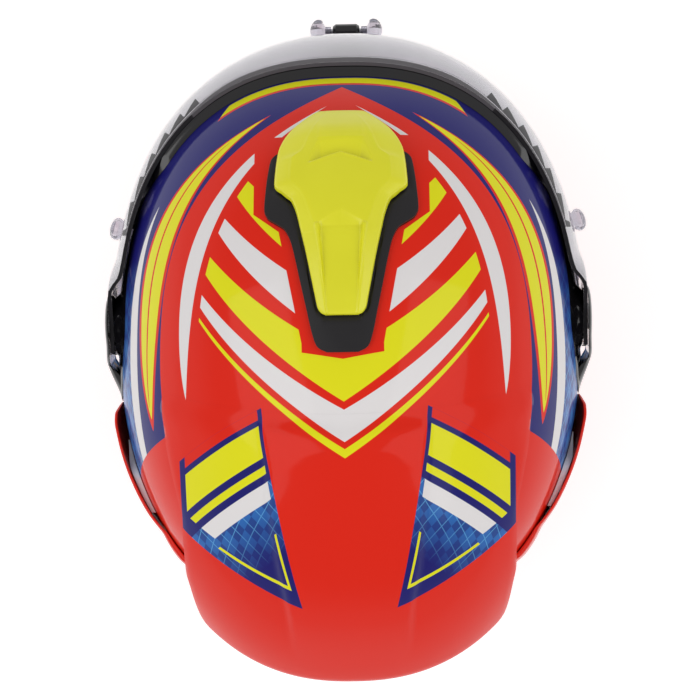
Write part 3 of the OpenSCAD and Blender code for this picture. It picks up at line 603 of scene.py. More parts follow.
def foam(name, colour):
    """Expanded foam: pressed beads with dark seams."""
    look = Look(name, colour, 0.75, Specular_IOR_Level=0.3)
    beads = look.node("ShaderNodeTexVoronoi", Vector=look.scaled(0.32, 0.32, 0.32), Scale=1.0)
    beads.feature = "DISTANCE_TO_EDGE"
    edge = Signal(look.tree, beads.outputs["Distance"])
    look.colour(look.blend(edge.over(0.1, 0.14), darker(colour, 0.55), colour))
    look.bump(edge.lower(0.25), 0.9, 0.5)
    return look.material


def webbing(name, colour):
    """Woven strap: ribs across and a fine thread along."""
    look = Look(name, colour, 0.7, Sheen_Weight=0.25, Specular_IOR_Level=0.3)
    x, y, z = look.place()
    run = (x + z) * (math.tau / 1.5)
    ribs = (y * (math.tau / 2.4) + run.sine() * 1.1).sine()
    look.colour(look.blend(ribs * 0.5 + 0.5, darker(colour, 0.5), colour))
    look.bump(ribs, 0.25, 0.8)
    look.bump(run.sine(), 0.12, 0.5)
    return look.material


def steel(name):
    look = Look(name, linear(190, 190, 194), 0.28, Metallic=1.0)
    brushed = look.noise(1.2, 3.0, (1, 6, 1))
    look.rough(brushed * 0.16 + 0.2)
    look.bump(brushed, 0.01, 0.4)
    return look.material


def clear(name, colour, rough, ior, clarity):
    return Look(name, colour, rough, Transmission_Weight=clarity, IOR=ior, Coat_Weight=0.3).material


def vent_yellow():
    look = Look("vent_yellow", linear(234, 230, 24), 0.36, Coat_Weight=0.25, Coat_Roughness=0.2)
    look.colour(look.blend(look.noise(0.03, 3.0), linear(230, 226, 16), linear(240, 237, 36)))
    look.bump(look.noise(2.4, 2.0), 0.015, 0.5)
    return look.material


def mesh_screen():
    """Fine screen: shiny threads, and holes between them painted near black as painted shade for the dark inside
    seen through them.
    """
    look = Look("vent_mesh", linear(60, 60, 64), 0.45)
    x, _, z = look.place()
    threads = (x * (math.tau / 1.4)).sine().higher((z * (math.tau / 1.4)).sine())
    # painted shade: near black where the holes are, for the shade behind the screen
    look.colour(look.blend(threads.over(0.35, 0.3), linear(6, 6, 7), linear(62, 62, 66)))
    look.bump(threads, 0.4, 0.9)
    return look.material


PAINT = painted("shell_paint", livery)
FIN_PAINT = painted("fin_paint")
YELLOW_VENT = vent_yellow()
SATIN_BLACK = plain("black_satin", linear(22, 19, 23), 0.36, 0.012, 3.0, 0.15, Specular_IOR_Level=0.5)
GLOSS_BLACK = plain("black_gloss", linear(17, 16, 19), 0.1, 0.004, 1.0, 0.1, Coat_Weight=0.6, Coat_Roughness=0.04)
GASKET_BLACK = plain("gasket_rubber", linear(20, 18, 21), 0.16, 0.006, 1.4, 0.1, Coat_Weight=0.5,
                     Coat_Roughness=0.06)
RUBBER = plain("edge_rubber", linear(26, 25, 27), 0.5, 0.03, 1.6, 0.25)
SOFT_RUBBER = plain("soft_rubber", linear(32, 31, 34), 0.6, 0.04, 1.4, 0.25)
RAW_SHELL = plain("shell_inside", linear(34, 34, 36), 0.6, 0.15, 0.8, 0.3)
# partly print and partly painted reflection: a dark print made grey for the reflection that lies over it
GREY_PRINT_AND_REFLECTION = plain("visor_print", linear(74, 69, 74), 0.5, 0.006, 2.0, 0.08, Specular_IOR_Level=0.4)
PRINT_BLACK = plain("print_black", linear(26, 23, 28), 0.4, 0.004, 2.0, 0.08, Specular_IOR_Level=0.2)
EPS = foam("liner_foam", linear(52, 52, 56))
CROWN_CLOTH = cloth("crown_cloth", linear(92, 92, 102), 1.6, 0.3, "xy")
CHEEK_CLOTH = cloth("cheek_cloth", linear(84, 84, 94), 1.6, 0.3, "yz")
ROLL_CLOTH = cloth("roll_cloth", linear(58, 58, 66), 1.3, 0.2, "xz")
CURTAIN_CLOTH = cloth("curtain_cloth", linear(36, 36, 40), 1.1, 0.15, "xy", 0.2)
STRAP_WEB = webbing("strap_webbing", linear(34, 34, 37))
PULL_WEB = webbing("pull_webbing", linear(206, 34, 28))
STEEL = steel("bright_steel")
DUCT_CLEAR = clear("duct_clear", linear(246, 242, 248), 0.25, 1.45, 0.15)
KNOB_CLEAR = clear("knob_clear", linear(206, 203, 214), 0.03, 1.49, 0.9)
# painted reflection: the shield is clear, and its pale tint, with part of it not see-through, stands for the
# reflection of the white surroundings
VISOR_TINT_AND_REFLECTION = clear("visor_clear", linear(230, 226, 234), 0.08, 1.5, 0.68)
SCREEN = mesh_screen()


# Outer shell and visor
def make_shell():
    """A fine skin with the eyeport and the chin vent open."""
    columns, port_rows, crown_rows = 180, 14, 44
    vent_rows = slice(11, 17)
    shares = np.concatenate([
        np.linspace(0, 0.42, 12)[:-1], np.linspace(0.42, 0.62, 7)[:-1], np.linspace(0.62, 1, 12)])
    lows = len(shares)
    a = np.arange(columns) * 360 / columns
    low, high = port_edge(a, -1), port_edge(a, 1)
    top = CROWN_Z - WIDEST_Z

    def level(i):
        if i < lows:
            return mix(TRIM_DROP, low, shares[i])
        if i < lows + port_rows:
            return mix(low, high, (i - lows + 1) / port_rows)
        start = np.degrees(np.arcsin((high - WIDEST_Z) / top))
        t = (i - lows - port_rows + 1) / (crown_rows + 1)
        return WIDEST_Z + top * sin(mix(start, 90, t))

    heights = np.stack([level(i) for i in range(lows + port_rows + crown_rows)])
    front = skin(a, heights, 0.0)
    back_heights = np.minimum(heights, WIDEST_Z + (heights - WIDEST_Z) * (top - SHELL_WALL) / top)
    back = skin(a, np.where(heights > WIDEST_Z, back_heights, heights), -SHELL_WALL)
    keep = np.ones((len(heights) - 1, columns), bool)
    from_front = np.abs(a + 180 / columns - FRONT_ANGLE)
    keep[lows - 1:lows + port_rows - 1, from_front < PORT_HALF_ANGLE] = False
    keep[vent_rows, from_front < CHIN_VENT_ANGLE] = False
    poles = [(0, 0, CROWN_Z), (0, 0, CROWN_Z - SHELL_WALL)]
    shell = between("outer_shell_skin", front, back, closed=True, poles=poles, keep=keep, sharp=50)
    place(shell, "shell_paint", [PAINT, RAW_SHELL], "outer_shell")


def make_trim():
    """Rubber bead on the bottom rim, with rounded lips. It is alike on both sides of the shell's wall."""
    half = [(0.3, TRIM_HEIGHT), (TRIM_OUT - 0.3, TRIM_HEIGHT - 0.2), (TRIM_OUT, TRIM_HEIGHT - 1.2),
            (TRIM_OUT + 0.55, TRIM_DROP + 1), (TRIM_OUT + 0.6, TRIM_DROP - 0.6), (TRIM_OUT + 0.1, 0.8),
            (TRIM_OUT - 1.2, 0.05), (TRIM_OUT - 2.2, 0.0)]
    bead = half + [(-SHELL_WALL - out, height) for out, height in half[::-1]]
    bead += [(-SHELL_WALL - 0.2, TRIM_DROP), (0.2, TRIM_DROP)]
    angles = np.arange(0, 360, 2.0)
    rings = np.stack([skin(angles, height, out) for out, height in bead], axis=1)
    place(swept("edge_trim_bead", rings, closed=True, sharp=60), "edge_rubber", [RUBBER], "edge_trim")


def visor_reach(z):
    return VISOR_FRONT - VISOR_LEAN * np.maximum(0.0, (z - VISOR_LOW) / 100) ** 2.4


def visor_width(z):
    return half_width(z, 0.0) + VISOR_GAP + VISOR_WALL + 1.6 * ease((z - WIDEST_Z) / 64)


def visor_skin(a, z, g):
    e = 2 / squareness(z)
    x = (visor_width(z) + g) * signed_pow(cos(a), e)
    y = -(visor_reach(z) + g) * signed_pow(sin(a), e)
    ear = ease((37 - np.hypot(y - PIVOT_Y, z - PIVOT_Z)) / 12)
    return points(np.sign(x) * mix(np.abs(x), EAR_OUTER + g, ear), y, z)


SPREAD = 90 + math.degrees(math.asin(((EAR_BACK + PIVOT_Y) / VISOR_FRONT) ** (float(squareness(PIVOT_Z)) / 2)))


def visor_height(a, share):
    """Height on the visor: share is 0 at its lower edge and 1 at its upper edge."""
    fold = 0.45 + 0.55 * ease((SPREAD - np.abs(a - FRONT_ANGLE)) / 14)
    return port_middle(a) + (visor_top(a) - visor_bottom(a)) / 2 * fold * (2 * share - 1)


def make_visor():
    """Clear shield with a hole in each ear. Its rim is dark: the second material in front, the third beside it."""
    a = row(FRONT_ANGLE - SPREAD, FRONT_ANGLE + SPREAD, 181)
    z = visor_height(a, column(0, 1, 33))
    visor = between("visor_shield", visor_skin(a, z, 0.0), visor_skin(a, z, -VISOR_WALL))
    for face in visor.data.polygons:
        on_rim = min(face.vertices) < z.size <= max(face.vertices)
        face.material_index = 0 if not on_rim else 1 if abs(face.center.x) < 0.08 else 2
    # the shield's pale tint is painted reflection, and the front rim's grey is partly print and partly painted
    # reflection
    for material in (VISOR_TINT_AND_REFLECTION, GREY_PRINT_AND_REFLECTION, PRINT_BLACK):
        visor.data.materials.append(material)
    for side in (-1, 1):
        cut_hole(visor, side, HUB_RADIUS + HUB_CLEARANCE)
    place(visor, "visor_clear", [], "visor", body="visor")


def cut_hole(obj, side, radius, count=64):
    """Drills a round hole through the visor's ear on one side."""
    mesh = bpy.data.meshes.new("drill")
    turns = [math.tau * k / count for k in range(count)]
    ring = [(radius * math.cos(turn), radius * math.sin(turn)) for turn in turns]
    caps = [tuple(range(count))[::-1], tuple(range(count, 2 * count))]
    walls = [(k, (k + 1) % count, count + (k + 1) % count, count + k) for k in range(count)]
    mesh.from_pydata([(p, q, h) for h in (0, VISOR_WALL + 4) for p, q in ring], [], caps + walls)
    spot = Vector((side * (EAR_INNER - 2), PIVOT_Y + SHIFT, PIVOT_Z))
    mesh.transform(Matrix.Translation(spot) @ Matrix.Rotation(side * math.pi / 2, 4, "Y"))
    mesh.transform(Matrix.Scale(MM, 4))
    drill = added("drill", mesh)
    cut = obj.modifiers.new("hole", "BOOLEAN")
    cut.operation, cut.object, cut.solver = "DIFFERENCE", drill, "EXACT"
    shaped = bpy.data.meshes.new_from_object(obj.evaluated_get(bpy.context.evaluated_depsgraph_get()))
    obj.modifiers.clear()
    obj.data = shaped
    bpy.data.objects.remove(drill)


def make_visor_print():
    """Black border: strips inside the visor, and outside along its upper edge a matt strip with triangles. The grey
    of the matt strips is partly print and partly painted reflection.
    """
    def band(name, a, low, high, material, lift):
        z = mix(low, high, column(0, 1, 7))
        strip = between(name, visor_skin(a, z, lift), visor_skin(a, z, lift - 0.08))
        place(strip, "black_gloss", [material], body="visor")

    def edges(spread, count):
        a = np.linspace(FRONT_ANGLE - spread, FRONT_ANGLE + spread, count)
        return a, np.abs(a - FRONT_ANGLE), visor_height(a, 1.0) - 0.3, visor_height(a, 0.0) + 0.3

    a, away, top, bottom = edges(SPREAD - 1, 361)
    inside = -VISOR_WALL - 0.12
    reach = mix(4, 0.62 * (top - bottom), ease((away - 64) / 14))
    band("visor_print_top", a, top - reach, top, GLOSS_BLACK, inside)
    band("visor_print_bottom", a, bottom, bottom + 3.5 + 4 * ease((away - 34) / 34), GREY_PRINT_AND_REFLECTION, inside)
    a, away, top, bottom = edges(73, 293)
    reach = 4 - 3 * ease((away - 24) / 20)
    band("visor_print_edge", a, top - reach, top, GREY_PRINT_AND_REFLECTION, 0.13)
    tall = np.where(away > 36, 9.5 * (1 - (away / 6.0) % 1), 0.02)
    band("visor_print_teeth", a, top - reach - 1.4 - tall, top - reach - 1.4, PRINT_BLACK, 0.13)


def make_gasket():
    """Rubber frame round the eyeport, with a lip that closes the gap under the visor's upper edge."""
    low, high = FRONT_ANGLE - PORT_HALF_ANGLE, FRONT_ANGLE + PORT_HALF_ANGLE
    step = 1.5
    path = [(a, -1.0) for a in np.arange(low, high + 0.1, step)] + [(high, s) for s in np.linspace(-0.8, 0.8, 9)]
    path += [(a, 1.0) for a in np.arange(high, low - 0.1, -step)] + [(low, s) for s in np.linspace(0.8, -0.8, 9)]
    rings = []
    for angle, side in path:
        end = -1 if angle == low else 1 if angle == high else 0
        band = GASKET_TOP if side == 1 else GASKET_BAND
        lip = gasket_lip(angle, side)
        ring = []
        for out, rise in ((0, 0.2), (0, 1.3), (0.5, 1.8), (band * 0.5, 1.8 + lip * 0.5), (band - 0.7, 1.8 + lip),
                          (band, 1.4 + lip), (band, 0.2)):
            a = angle + end * out * 2.4 / GASKET_BAND
            z = port_edge(angle, side) + (side * out if abs(side) == 1 else 0)
            ring.append(skin(a, z, rise))
        rings.append(ring)
    gasket = swept("eyeport_gasket_rubber", np.array(rings), closed=True, sharp=60)
    place(gasket, "edge_rubber", [GASKET_BLACK], "eyeport_gasket")


def gasket_lip(angle, side):
    """How far the lip stands out, to end short of the inside of the visor."""
    if side < 1:
        return 0.0
    z = port_edge(angle, 1) + GASKET_TOP
    gap = np.linalg.norm(visor_skin(angle, z, -VISOR_WALL) - skin(angle, z, 0.0))
    return float(max(0.0, min(gap - 2.8, 4.0)))


def smooth(table, p):
    """Smooth curve through [position, value] rows that doesn't overshoot."""
    x, v = np.array(table, float).T
    slope = np.diff(v) / np.diff(x)
    turn = np.zeros(len(x))
    both = slope[:-1] * slope[1:]
    turn[1:-1] = np.where(both > 0, 2 * both / (slope[:-1] + slope[1:] + 1e-12), 0)
    turn[0], turn[-1] = slope[0], slope[-1]
    p = np.clip(np.asarray(p, float), x[0], x[-1])
    i = np.clip(np.searchsorted(x, p) - 1, 0, len(x) - 2)
    h, t = x[i + 1] - x[i], (p - x[i]) / (x[i + 1] - x[i])
    return (v[i] * (2 * t**3 - 3 * t**2 + 1) + v[i + 1] * (3 * t**2 - 2 * t**3)
            + h * (turn[i] * (t**3 - 2 * t**2 + t) + turn[i + 1] * (t**3 - t**2)))


# Linings
def liner_low(a):
    return mix(LINER_NAPE, port_edge(a, 1) + 4, ease((sin(a) + 0.55) / 0.95))


def dome(a, t, low, g):
    return skin(a, low + (CROWN_Z + g - low) * sin(90 * t), g)


def tube(name, path, radius, closed=False, sides=8):
    """Round cord or piping along a path of points."""
    path = np.asarray(path, float)
    ahead = np.roll(path, -1, 0) - np.roll(path, 1, 0)
    if not closed:
        ahead[0], ahead[-1] = path[1] - path[0], path[-1] - path[-2]
    ahead /= np.linalg.norm(ahead, axis=1)[:, None]
    side = np.cross(ahead, (0.31, 0.12, 0.94))
    side /= np.linalg.norm(side, axis=1)[:, None]
    up = np.cross(side, ahead)
    turn = np.arange(sides) * math.tau / sides
    rings = path[:, None] + radius * (
        np.cos(turn)[None, :, None] * side[:, None] + np.sin(turn)[None, :, None] * up[:, None])
    return swept(name, rings, closed=closed, sharp=80)


def fill_with_air(obj, held, reach):
    """Cloth simulation: pressure swells the cover between the points that are held, by up to reach millimetres."""
    obj.vertex_groups.new(name="held").add(np.flatnonzero(held).tolist(), 1.0, "REPLACE")
    air = obj.modifiers.new("air", "CLOTH")
    air.settings.use_pressure = True
    air.settings.uniform_pressure_force = AIR_PRESSURE
    air.settings.vertex_group_mass = "held"
    air.settings.effector_weights.gravity = 0.0
    air.collision_settings.use_collision = False
    scene = bpy.context.scene
    for frame_number in range(1, AIR_FRAMES + 1):
        scene.frame_set(frame_number)
    swollen = obj.evaluated_get(bpy.context.evaluated_depsgraph_get()).data
    count = len(obj.data.vertices)
    before, after = np.empty(count * 3), np.empty(count * 3)
    obj.data.vertices.foreach_get("co", before)
    swollen.vertices.foreach_get("co", after)
    move = (after - before).reshape(-1, 3)
    size = np.linalg.norm(move, axis=1, keepdims=True)
    move *= np.minimum(1, reach * MM / np.maximum(size, 1e-9))
    obj.modifiers.remove(air)
    obj.vertex_groups.clear()
    scene.frame_set(1)
    obj.data.vertices.foreach_set("co", before + move.ravel())
    obj.data.update()


def make_liner():
    a = np.arange(0, 360, 3.0)[None, :]
    t = column(0, 1, 31)[:-1]
    liner = between("impact_liner_foam", dome(a, t, liner_low(a), LINER_OUTER),
                    dome(a, t, liner_low(a), LINER_INNER), closed=True,
                    poles=[(0, 0, CROWN_Z + LINER_OUTER), (0, 0, CROWN_Z + LINER_INNER)])
    place(rounded(liner, 2.0), "liner_foam", [EPS], "impact_liner")


def make_crown_pad():
    a = np.arange(0, 360, 1.5)[None, :]
    t = column(0, 1, 49)[:-1]
    outer = LINER_INNER - 2 * LINER_GAP
    panels, rows = np.abs(sin(4 * a)), np.abs(sin(180 * 6 * t))
    channel = 0.72 + 0.28 * panels ** 0.7
    plump = 0.6 + 0.4 * sin(180 * np.minimum(1, 0.12 + t))
    quilt = 0.05 * rows ** 0.6
    low = liner_low(a) + 6
    cover = dome(a, t, low, outer)
    inner = dome(a, t, low, outer - CROWN_PAD_WALL * channel * (plump - 0.05 + quilt))
    pad = between("crown_pad_cushion", cover, inner, closed=True,
                  poles=[(0, 0, CROWN_Z + outer), (0, 0, CROWN_Z + outer - CROWN_PAD_WALL * 0.9)])
    sewn = (panels < 0.12) | (t < 0.06) | (rows < 0.1)
    fill_with_air(pad, np.concatenate([np.ones(sewn.size, bool), sewn.ravel(), [True, True]]), 2.0)
    place(pad, "lining_cloth", [CROWN_CLOTH], "crown_pad")
    rim = inner[0] * 0.7 + cover[0] * 0.3
    place(tube("crown_pad_piping", rim + (0, 0, -0.3), 1.3, closed=True), "lining_cloth", [ROLL_CLOTH])


def make_chin_liner():
    a = FRONT_ANGLE + row(-CHIN_LINER_HALF_ANGLE, CHIN_LINER_HALF_ANGLE, 55)
    shares = np.concatenate([np.linspace(0, 0.34, 5)[:-1], np.linspace(0.34, 0.6, 4)[:-1], np.linspace(0.6, 1, 5)])
    vent_rows = slice(4, 7)
    z = mix(TRIM_HEIGHT + 3, port_edge(a, -1) - 5, shares[:, None])
    keep = np.ones((len(shares) - 1, a.size - 1), bool)
    keep[vent_rows, np.abs(a[0, :-1] + 1 - FRONT_ANGLE) < CHIN_VENT_ANGLE] = False
    back = skin(a, z, LINER_OUTER - CHIN_LINER_WALL)
    liner = between("chin_liner_foam", skin(a, z, LINER_OUTER), back, keep=keep)
    place(rounded(liner, 1.5), "liner_foam", [EPS], "chin_liner")


def make_cheek_pads():
    """Cushion whose face is crowned, with a sewn channel, a welt round its face and creases at the corners."""
    u, v = row(1, -1, 65), column(-1, 1, 49)
    outer = -(SHELL_WALL + STRAP_WALL + 2 * STRAP_GAP + 1.5 + SEAT)
    crown, face_draw = 9.0, 5
    mid_y, long = (CHEEK_FRONT + CHEEK_BACK) / 2, (CHEEK_BACK - CHEEK_FRONT) / 2
    mid_z, tall = (CHEEK_LOW + CHEEK_HIGH) / 2, (CHEEK_HIGH - CHEEK_LOW) / 2

    def spot(draw):
        y = mid_y + (long - draw) * u * np.sqrt(1 - 0.42 * v * v)
        return y, mid_z + (tall - draw) * v * np.sqrt(1 - 0.42 * u * u) - 8 * np.maximum(0, u)

    edge = (1 - u**4) * (1 - v**4)
    seam = 2.2 * np.exp(-(((v - 0.3) / 0.07) ** 2)) + 1.6 * np.exp(-(((u - 0.1) / 0.04) ** 2)) * (v < 0.3)
    crease = 0.35 * np.sin(34 * v + 5 * u) * np.exp(-(((np.abs(u) - 0.9) / 0.12) ** 2)) * edge
    face = points(CHEEK_FACE + crown - (crown - 1) * edge**0.8 + (seam + crease) * edge**0.3, *spot(face_draw))
    y, z = spot(0)
    back = points(side_x(y, z, outer), y, z)
    pad = between("cheek_pad_left_cushion", face[:, ::-1], back[:, ::-1])
    sewn = ((edge < 0.02) | (seam > 1.1))[:, ::-1]
    fill_with_air(pad, np.concatenate([sewn.ravel(), np.ones(sewn.size, bool)]), 3.0)
    welt = np.concatenate([face[0, :-1], face[:-1, -1], face[-1, :0:-1], face[:0:-1, 0]]) + (0.8, 0, 0)
    piping = tube("cheek_pad_left_piping", welt, 1.1, closed=True)
    for cushion in (pad, place_pair(pad, "lining_cloth", [CHEEK_CLOTH], "cheek_pad_left")):
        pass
    place_pair(piping, "lining_cloth", [ROLL_CLOTH])


def make_neck_roll():
    sides, stations, bottom = 28, 97, 6
    depth = SHELL_WALL + SEAT + NECK_ROLL_RADIUS
    t = column(0, 1, stations)
    a = mix(200, 340, t)
    swell = 0.35 + 0.65 * np.sqrt(sin(180 * np.clip(t, 0.04, 0.96)))
    b = np.arange(sides)[None, :] * 360 / sides
    gather = 1 - 0.035 * np.abs(np.sin(t * 46)) ** 3 - 0.10 * np.exp(-(((b - 180) / 9) ** 2))
    tall = 1.25 * NECK_ROLL_RADIUS
    z = bottom + tall - tall * swell * sin(b) * gather
    rings = skin(a, z, -depth + NECK_ROLL_RADIUS * swell * cos(b) * gather)
    roll = swept("neck_roll_cushion", rings, sharp=70)
    place(roll, "lining_cloth", [ROLL_CLOTH], "neck_roll")


def make_breath_guard():
    u, t = row(1, -1, 49), column(0, 1, 17)
    inner = LINER_OUTER - (CHIN_LINER_WALL + 0.8 * VISOR_STEP + SEAT)
    edge = float(port_edge(FRONT_ANGLE, -1))
    x, z = 46 * u, edge - 20 + 28 * t * (1 - 0.6 * u * u)
    front = points(x, face_y(x, np.minimum(z, edge - 4), inner) + 14 * t * t, z)
    guard = between("breath_guard_rubber", front, front + (0, 1.8, 0))
    place(rounded(guard, 0.7), "soft_rubber", [SOFT_RUBBER], "breath_guard")


def make_chin_curtain():
    u, t = row(0, 1, 73), column(0, 1, 13)
    a = FRONT_ANGLE - 54 + 108 * u
    depth = -(SHELL_WALL + TRIM_OUT + 1.2) - 34 * t * (0.25 + 0.75 * sin(180 * u))
    z = 9 - 4 * sin(180 * t) + 0.35 * sin(360 * 11 * u) * t
    sheet = between("chin_curtain_cloth", skin(a, z + 0.9, depth), skin(a, z + 0.1, depth))
    place(sheet, "curtain_cloth", [CURTAIN_CLOTH], "chin_curtain")
    hem = skin(a, z + 0.5, depth)[-1]
    place(tube("chin_curtain_hem", hem, 1.1), "curtain_cloth", [ROLL_CLOTH])


# Top vent. Outlines give the half width, as a share, at angles over the crown.
COVER_OUTLINE = [
    (41.8, 0.25), (42.1, 0.33), (43.2, 0.456), (44.8, 0.583), (47.3, 0.765), (50.3, 0.9), (52, 0.945),
    (56.5, 0.985), (60, 1), (61, 0.967), (62, 0.89), (63.2, 0.815), (64, 0.755), (65.6, 0.7), (67.7, 0.655),
    (70.8, 0.606), (75.4, 0.534), (80.5, 0.463), (85.6, 0.393), (87.8, 0.36), (88.9, 0.31), (89.4, 0.24)]
FRAME_OUTLINE = [
    (51.2, 0.83), (52.6, 0.918), (55.8, 0.954), (60, 0.982), (64.7, 1), (66.9, 0.953), (68.5, 0.845),
    (70.1, 0.732), (72.9, 0.653), (77, 0.594), (81.9, 0.534), (88, 0.455), (93.7, 0.378), (96, 0.32), (97, 0.2)]


def cover_edge(phi):
    return COVER_HALF_WIDTH * smooth(COVER_OUTLINE, phi)


def make_vent_frame():
    phi = np.concatenate([[51.2, 51.6, 52.1], np.arange(52.6, 96.2, 0.6), [96.4, 96.7, 97]])[:, None]
    x = row(1, -1, 61) * (COVER_HALF_WIDTH + FRAME_MARGIN) * smooth(FRAME_OUTLINE, phi)
    clear_of_cover = (np.abs(x) - cover_edge(phi) - 0.8) / 0.9
    step = 0.7 * ease(np.maximum(clear_of_cover, (phi - 90) / 0.6))
    frame_piece = between("vent_frame_body", over(x, phi, SEAT + FRAME_WALL - 0.7 + step), over(x, phi, SEAT))
    place(rounded(frame_piece, 0.7, 3), "black_satin", [SATIN_BLACK], "vent_frame")


def ramp(t):
    return np.clip(t, 0, 1)


def cover_shape(u, phi):
    """Height of the vent cover as a share of its full height: a domed nose, an intake that dives under a
    peaked lip, flanks that fall from a crease, a chevron step, and a sunk deck between two ribs."""
    edge = cover_edge(phi)
    x = np.abs(u) * edge
    nose = ease(ramp((phi - 41.6) / 8.6) ** 0.8)
    spine = 1 - 0.45 * ease((phi - 66) / 24)
    crease = smooth([(41, 4), (45, 10), (49.5, 15.3), (53.7, 19.5), (55.4, 24.7), (60, 25.5), (64, 19), (68, 15.6),
                     (71, 13.4), (82, 10.6), (90, 8)], phi)
    fall = ramp((x - crease) / np.maximum(edge - crease, 1.0))
    level = nose * spine * (1 - 0.55 * fall ** 1.3 - 0.06 * ease((x - crease + 0.6) / 1.6))
    level = level * (1 - 0.16 * ease((phi - 61) / 12) * (x / edge) ** 2)

    lip = 54.7 + 0.14 * x
    wall = 10.5 + (phi - 50.4) * 0.87
    dive = ramp((phi - 51.8) / (lip - 51.8)) * ease((lip + 0.2 - phi) / 0.3) * (phi > 51.8)
    bowl = 0.85 * dive * ramp((wall - x) / np.maximum(wall - 10.2, 0.7))
    rim = 0.04 * ease((phi - lip - 0.1) / 0.3) * ease((lip + 1.1 - phi) / 0.7) * ease((16.6 - x) / 1.2)
    sill = 0.06 * ease((phi - 46) / 3) * ease((51.6 - phi) / 0.3) * ease((12.5 - x) / 2)

    apex = 67.7 + 0.24 * np.minimum(x, 10.7)
    inner = 10.9 - (phi - 71) * 0.2
    sunk = 0.46 * ramp((phi - apex) / (71.0 - apex)) * ease(inner + 0.5 - x) * (1 - 0.75 * ease((phi - 76) / 12))
    width = ramp((83 - phi) / 12)
    from_rib = np.abs(x - 11.3 + (phi - 71) * 0.19)
    rib = 0.14 * ease((phi - 70.2) / 0.9) * ease((1.9 * width + 0.3 - from_rib) / 0.8) * width ** 0.4
    return 0.12 + 0.88 * level - bowl + rim + sill - sunk + rib


def make_vent_cover():
    runs = ((43.1, 50.6, 0.3), (50.6, 59.0, 0.14), (59.0, 66.8, 0.3), (66.8, 72.2, 0.15), (72.2, 88.6, 0.35))
    phi = np.concatenate([[41.8, 42, 42.2, 42.5, 42.8], *(np.arange(*run) for run in runs), [88.8, 89, 89.2, 89.4]])
    phi, side = phi[:, None], np.linspace(1, 0.94, 7)
    u = np.concatenate([side[:-1], np.linspace(0.94, -0.94, 143), -side[-2::-1]])
    x = u * cover_edge(phi)
    rise = COVER_HEIGHT - COVER_FOOT - COVER_SKIRT
    rounding = 1 - np.sqrt(1 - ramp((np.abs(u) - 0.955) / 0.045) ** 2)
    ends = np.minimum(ramp((phi - 41.8) / 0.7), ramp((89.4 - phi) / 0.6))
    rounding = np.maximum(rounding, 1 - np.sqrt(1 - (1 - ends) ** 2))
    height = COVER_SKIRT + rise * cover_shape(u, phi) - (0.9 * COVER_SKIRT + 0.12 * rise) * rounding
    top = over(x, phi, COVER_FOOT + np.maximum(height, 0.08))
    cover = between("vent_cover_body", top, over(x, phi, COVER_FOOT), sharp=42)
    place(cover, "vent_yellow", [YELLOW_VENT], "vent_cover", body="vent_cover")


# Spoiler, fins and ducts. Outlines give the half width, as a share or in millimetres, at angles over the crown.
SPOILER_OUTLINE = [
    (110, 0.98), (115, 1), (120, 0.985), (127, 0.97), (135, 0.935), (143, 0.9), (150, 0.9), (156, 0.9),
    (161, 0.88), (165.5, 0.86), (168.5, 0.84), (170, 0.82)]
SPINE_OUTLINE = [(110, 41), (118, 39), (140, 35), (152, 30), (162, 28), (170, 26)]


def spoiler_top(x, phi):
    notch = 1.6 * np.maximum(0.0, 1 - np.abs(x) / 14)
    spine = (SPINE_HEIGHT * ease((phi - 111 - notch) / 3.5) * (1 - ease((phi - 150) / 15))
             * (1 - ease((np.abs(x) - smooth(SPINE_OUTLINE, phi)) / 4.0)))
    tail = (TAIL_REACH + TAIL_RUN_IN) * np.maximum(0, (phi - 122) / 48) ** 1.7
    return SPOILER_EDGE * ease((phi - 110) / 8) + spine + (arch(x, phi) / SHELL_REAR) * tail


def make_spoiler():
    phi = np.concatenate([np.arange(110, 168.5, 0.75), [168.5, 169, 169.4, 169.7, 169.9, 170]])[:, None]
    u = row(1, -1, 121)
    x = SPOILER_HALF_WIDTH * smooth(SPOILER_OUTLINE, phi) * u
    roll = 1.2 * (1 - np.sqrt(1 - ease((phi - 168) / 2.05) ** 2)) + 0.8 * ease((np.abs(u) - 0.975) / 0.025)
    foot = 0.06 + (PANEL_SEAT - 0.06) * ease((phi - 110) / 5)
    top = over(x, phi, foot + np.maximum(spoiler_top(x, phi) - roll, 0.06))
    spoiler = between("rear_spoiler_panel", top, over(x, phi, foot))
    place(spoiler, "shell_paint", [PAINT, PAINT], "rear_spoiler")


# Fins: distance behind the middle, share of the standing gap, lower and upper edge, share of the wall
FIN_STATIONS = [
    (31, 0, -4, 9, 0.4), (34, 0.3, -10, 15, 0.8), (38, 0.75, -15, 20, 1), (45, 1, -18, 23, 1),
    (54, 1, -21, 26, 1), (66, 0.95, -22, 28, 1), (80, 0.8, -22, 31, 1), (92, 0.6, -20, 33, 1),
    (99, 0.3, -18, 34, 1), (104, 0, -16, 34, 1.3), (111, 0, -12, 34, 1.8), (117, 0, -8, 34, 2),
    (121, 0, -4, 33, 1.5), (124, 0, 2, 30, 0.7)]


def fin_column(k, y):
    return smooth([(station[0], station[k]) for station in FIN_STATIONS], y)


def fin_edges(y):
    return WIDEST_Z + fin_column(2, y), WIDEST_Z + fin_column(3, y)


def fin_inner(y, z):
    """Half width at the fin's inner face, which leans away from the shell."""
    low, high = fin_edges(y)
    gap = SEAT + FIN_STAND * np.maximum(fin_column(1, y), 0) * (z - low) / (high - low)
    return side_x(y, z, 0) + gap


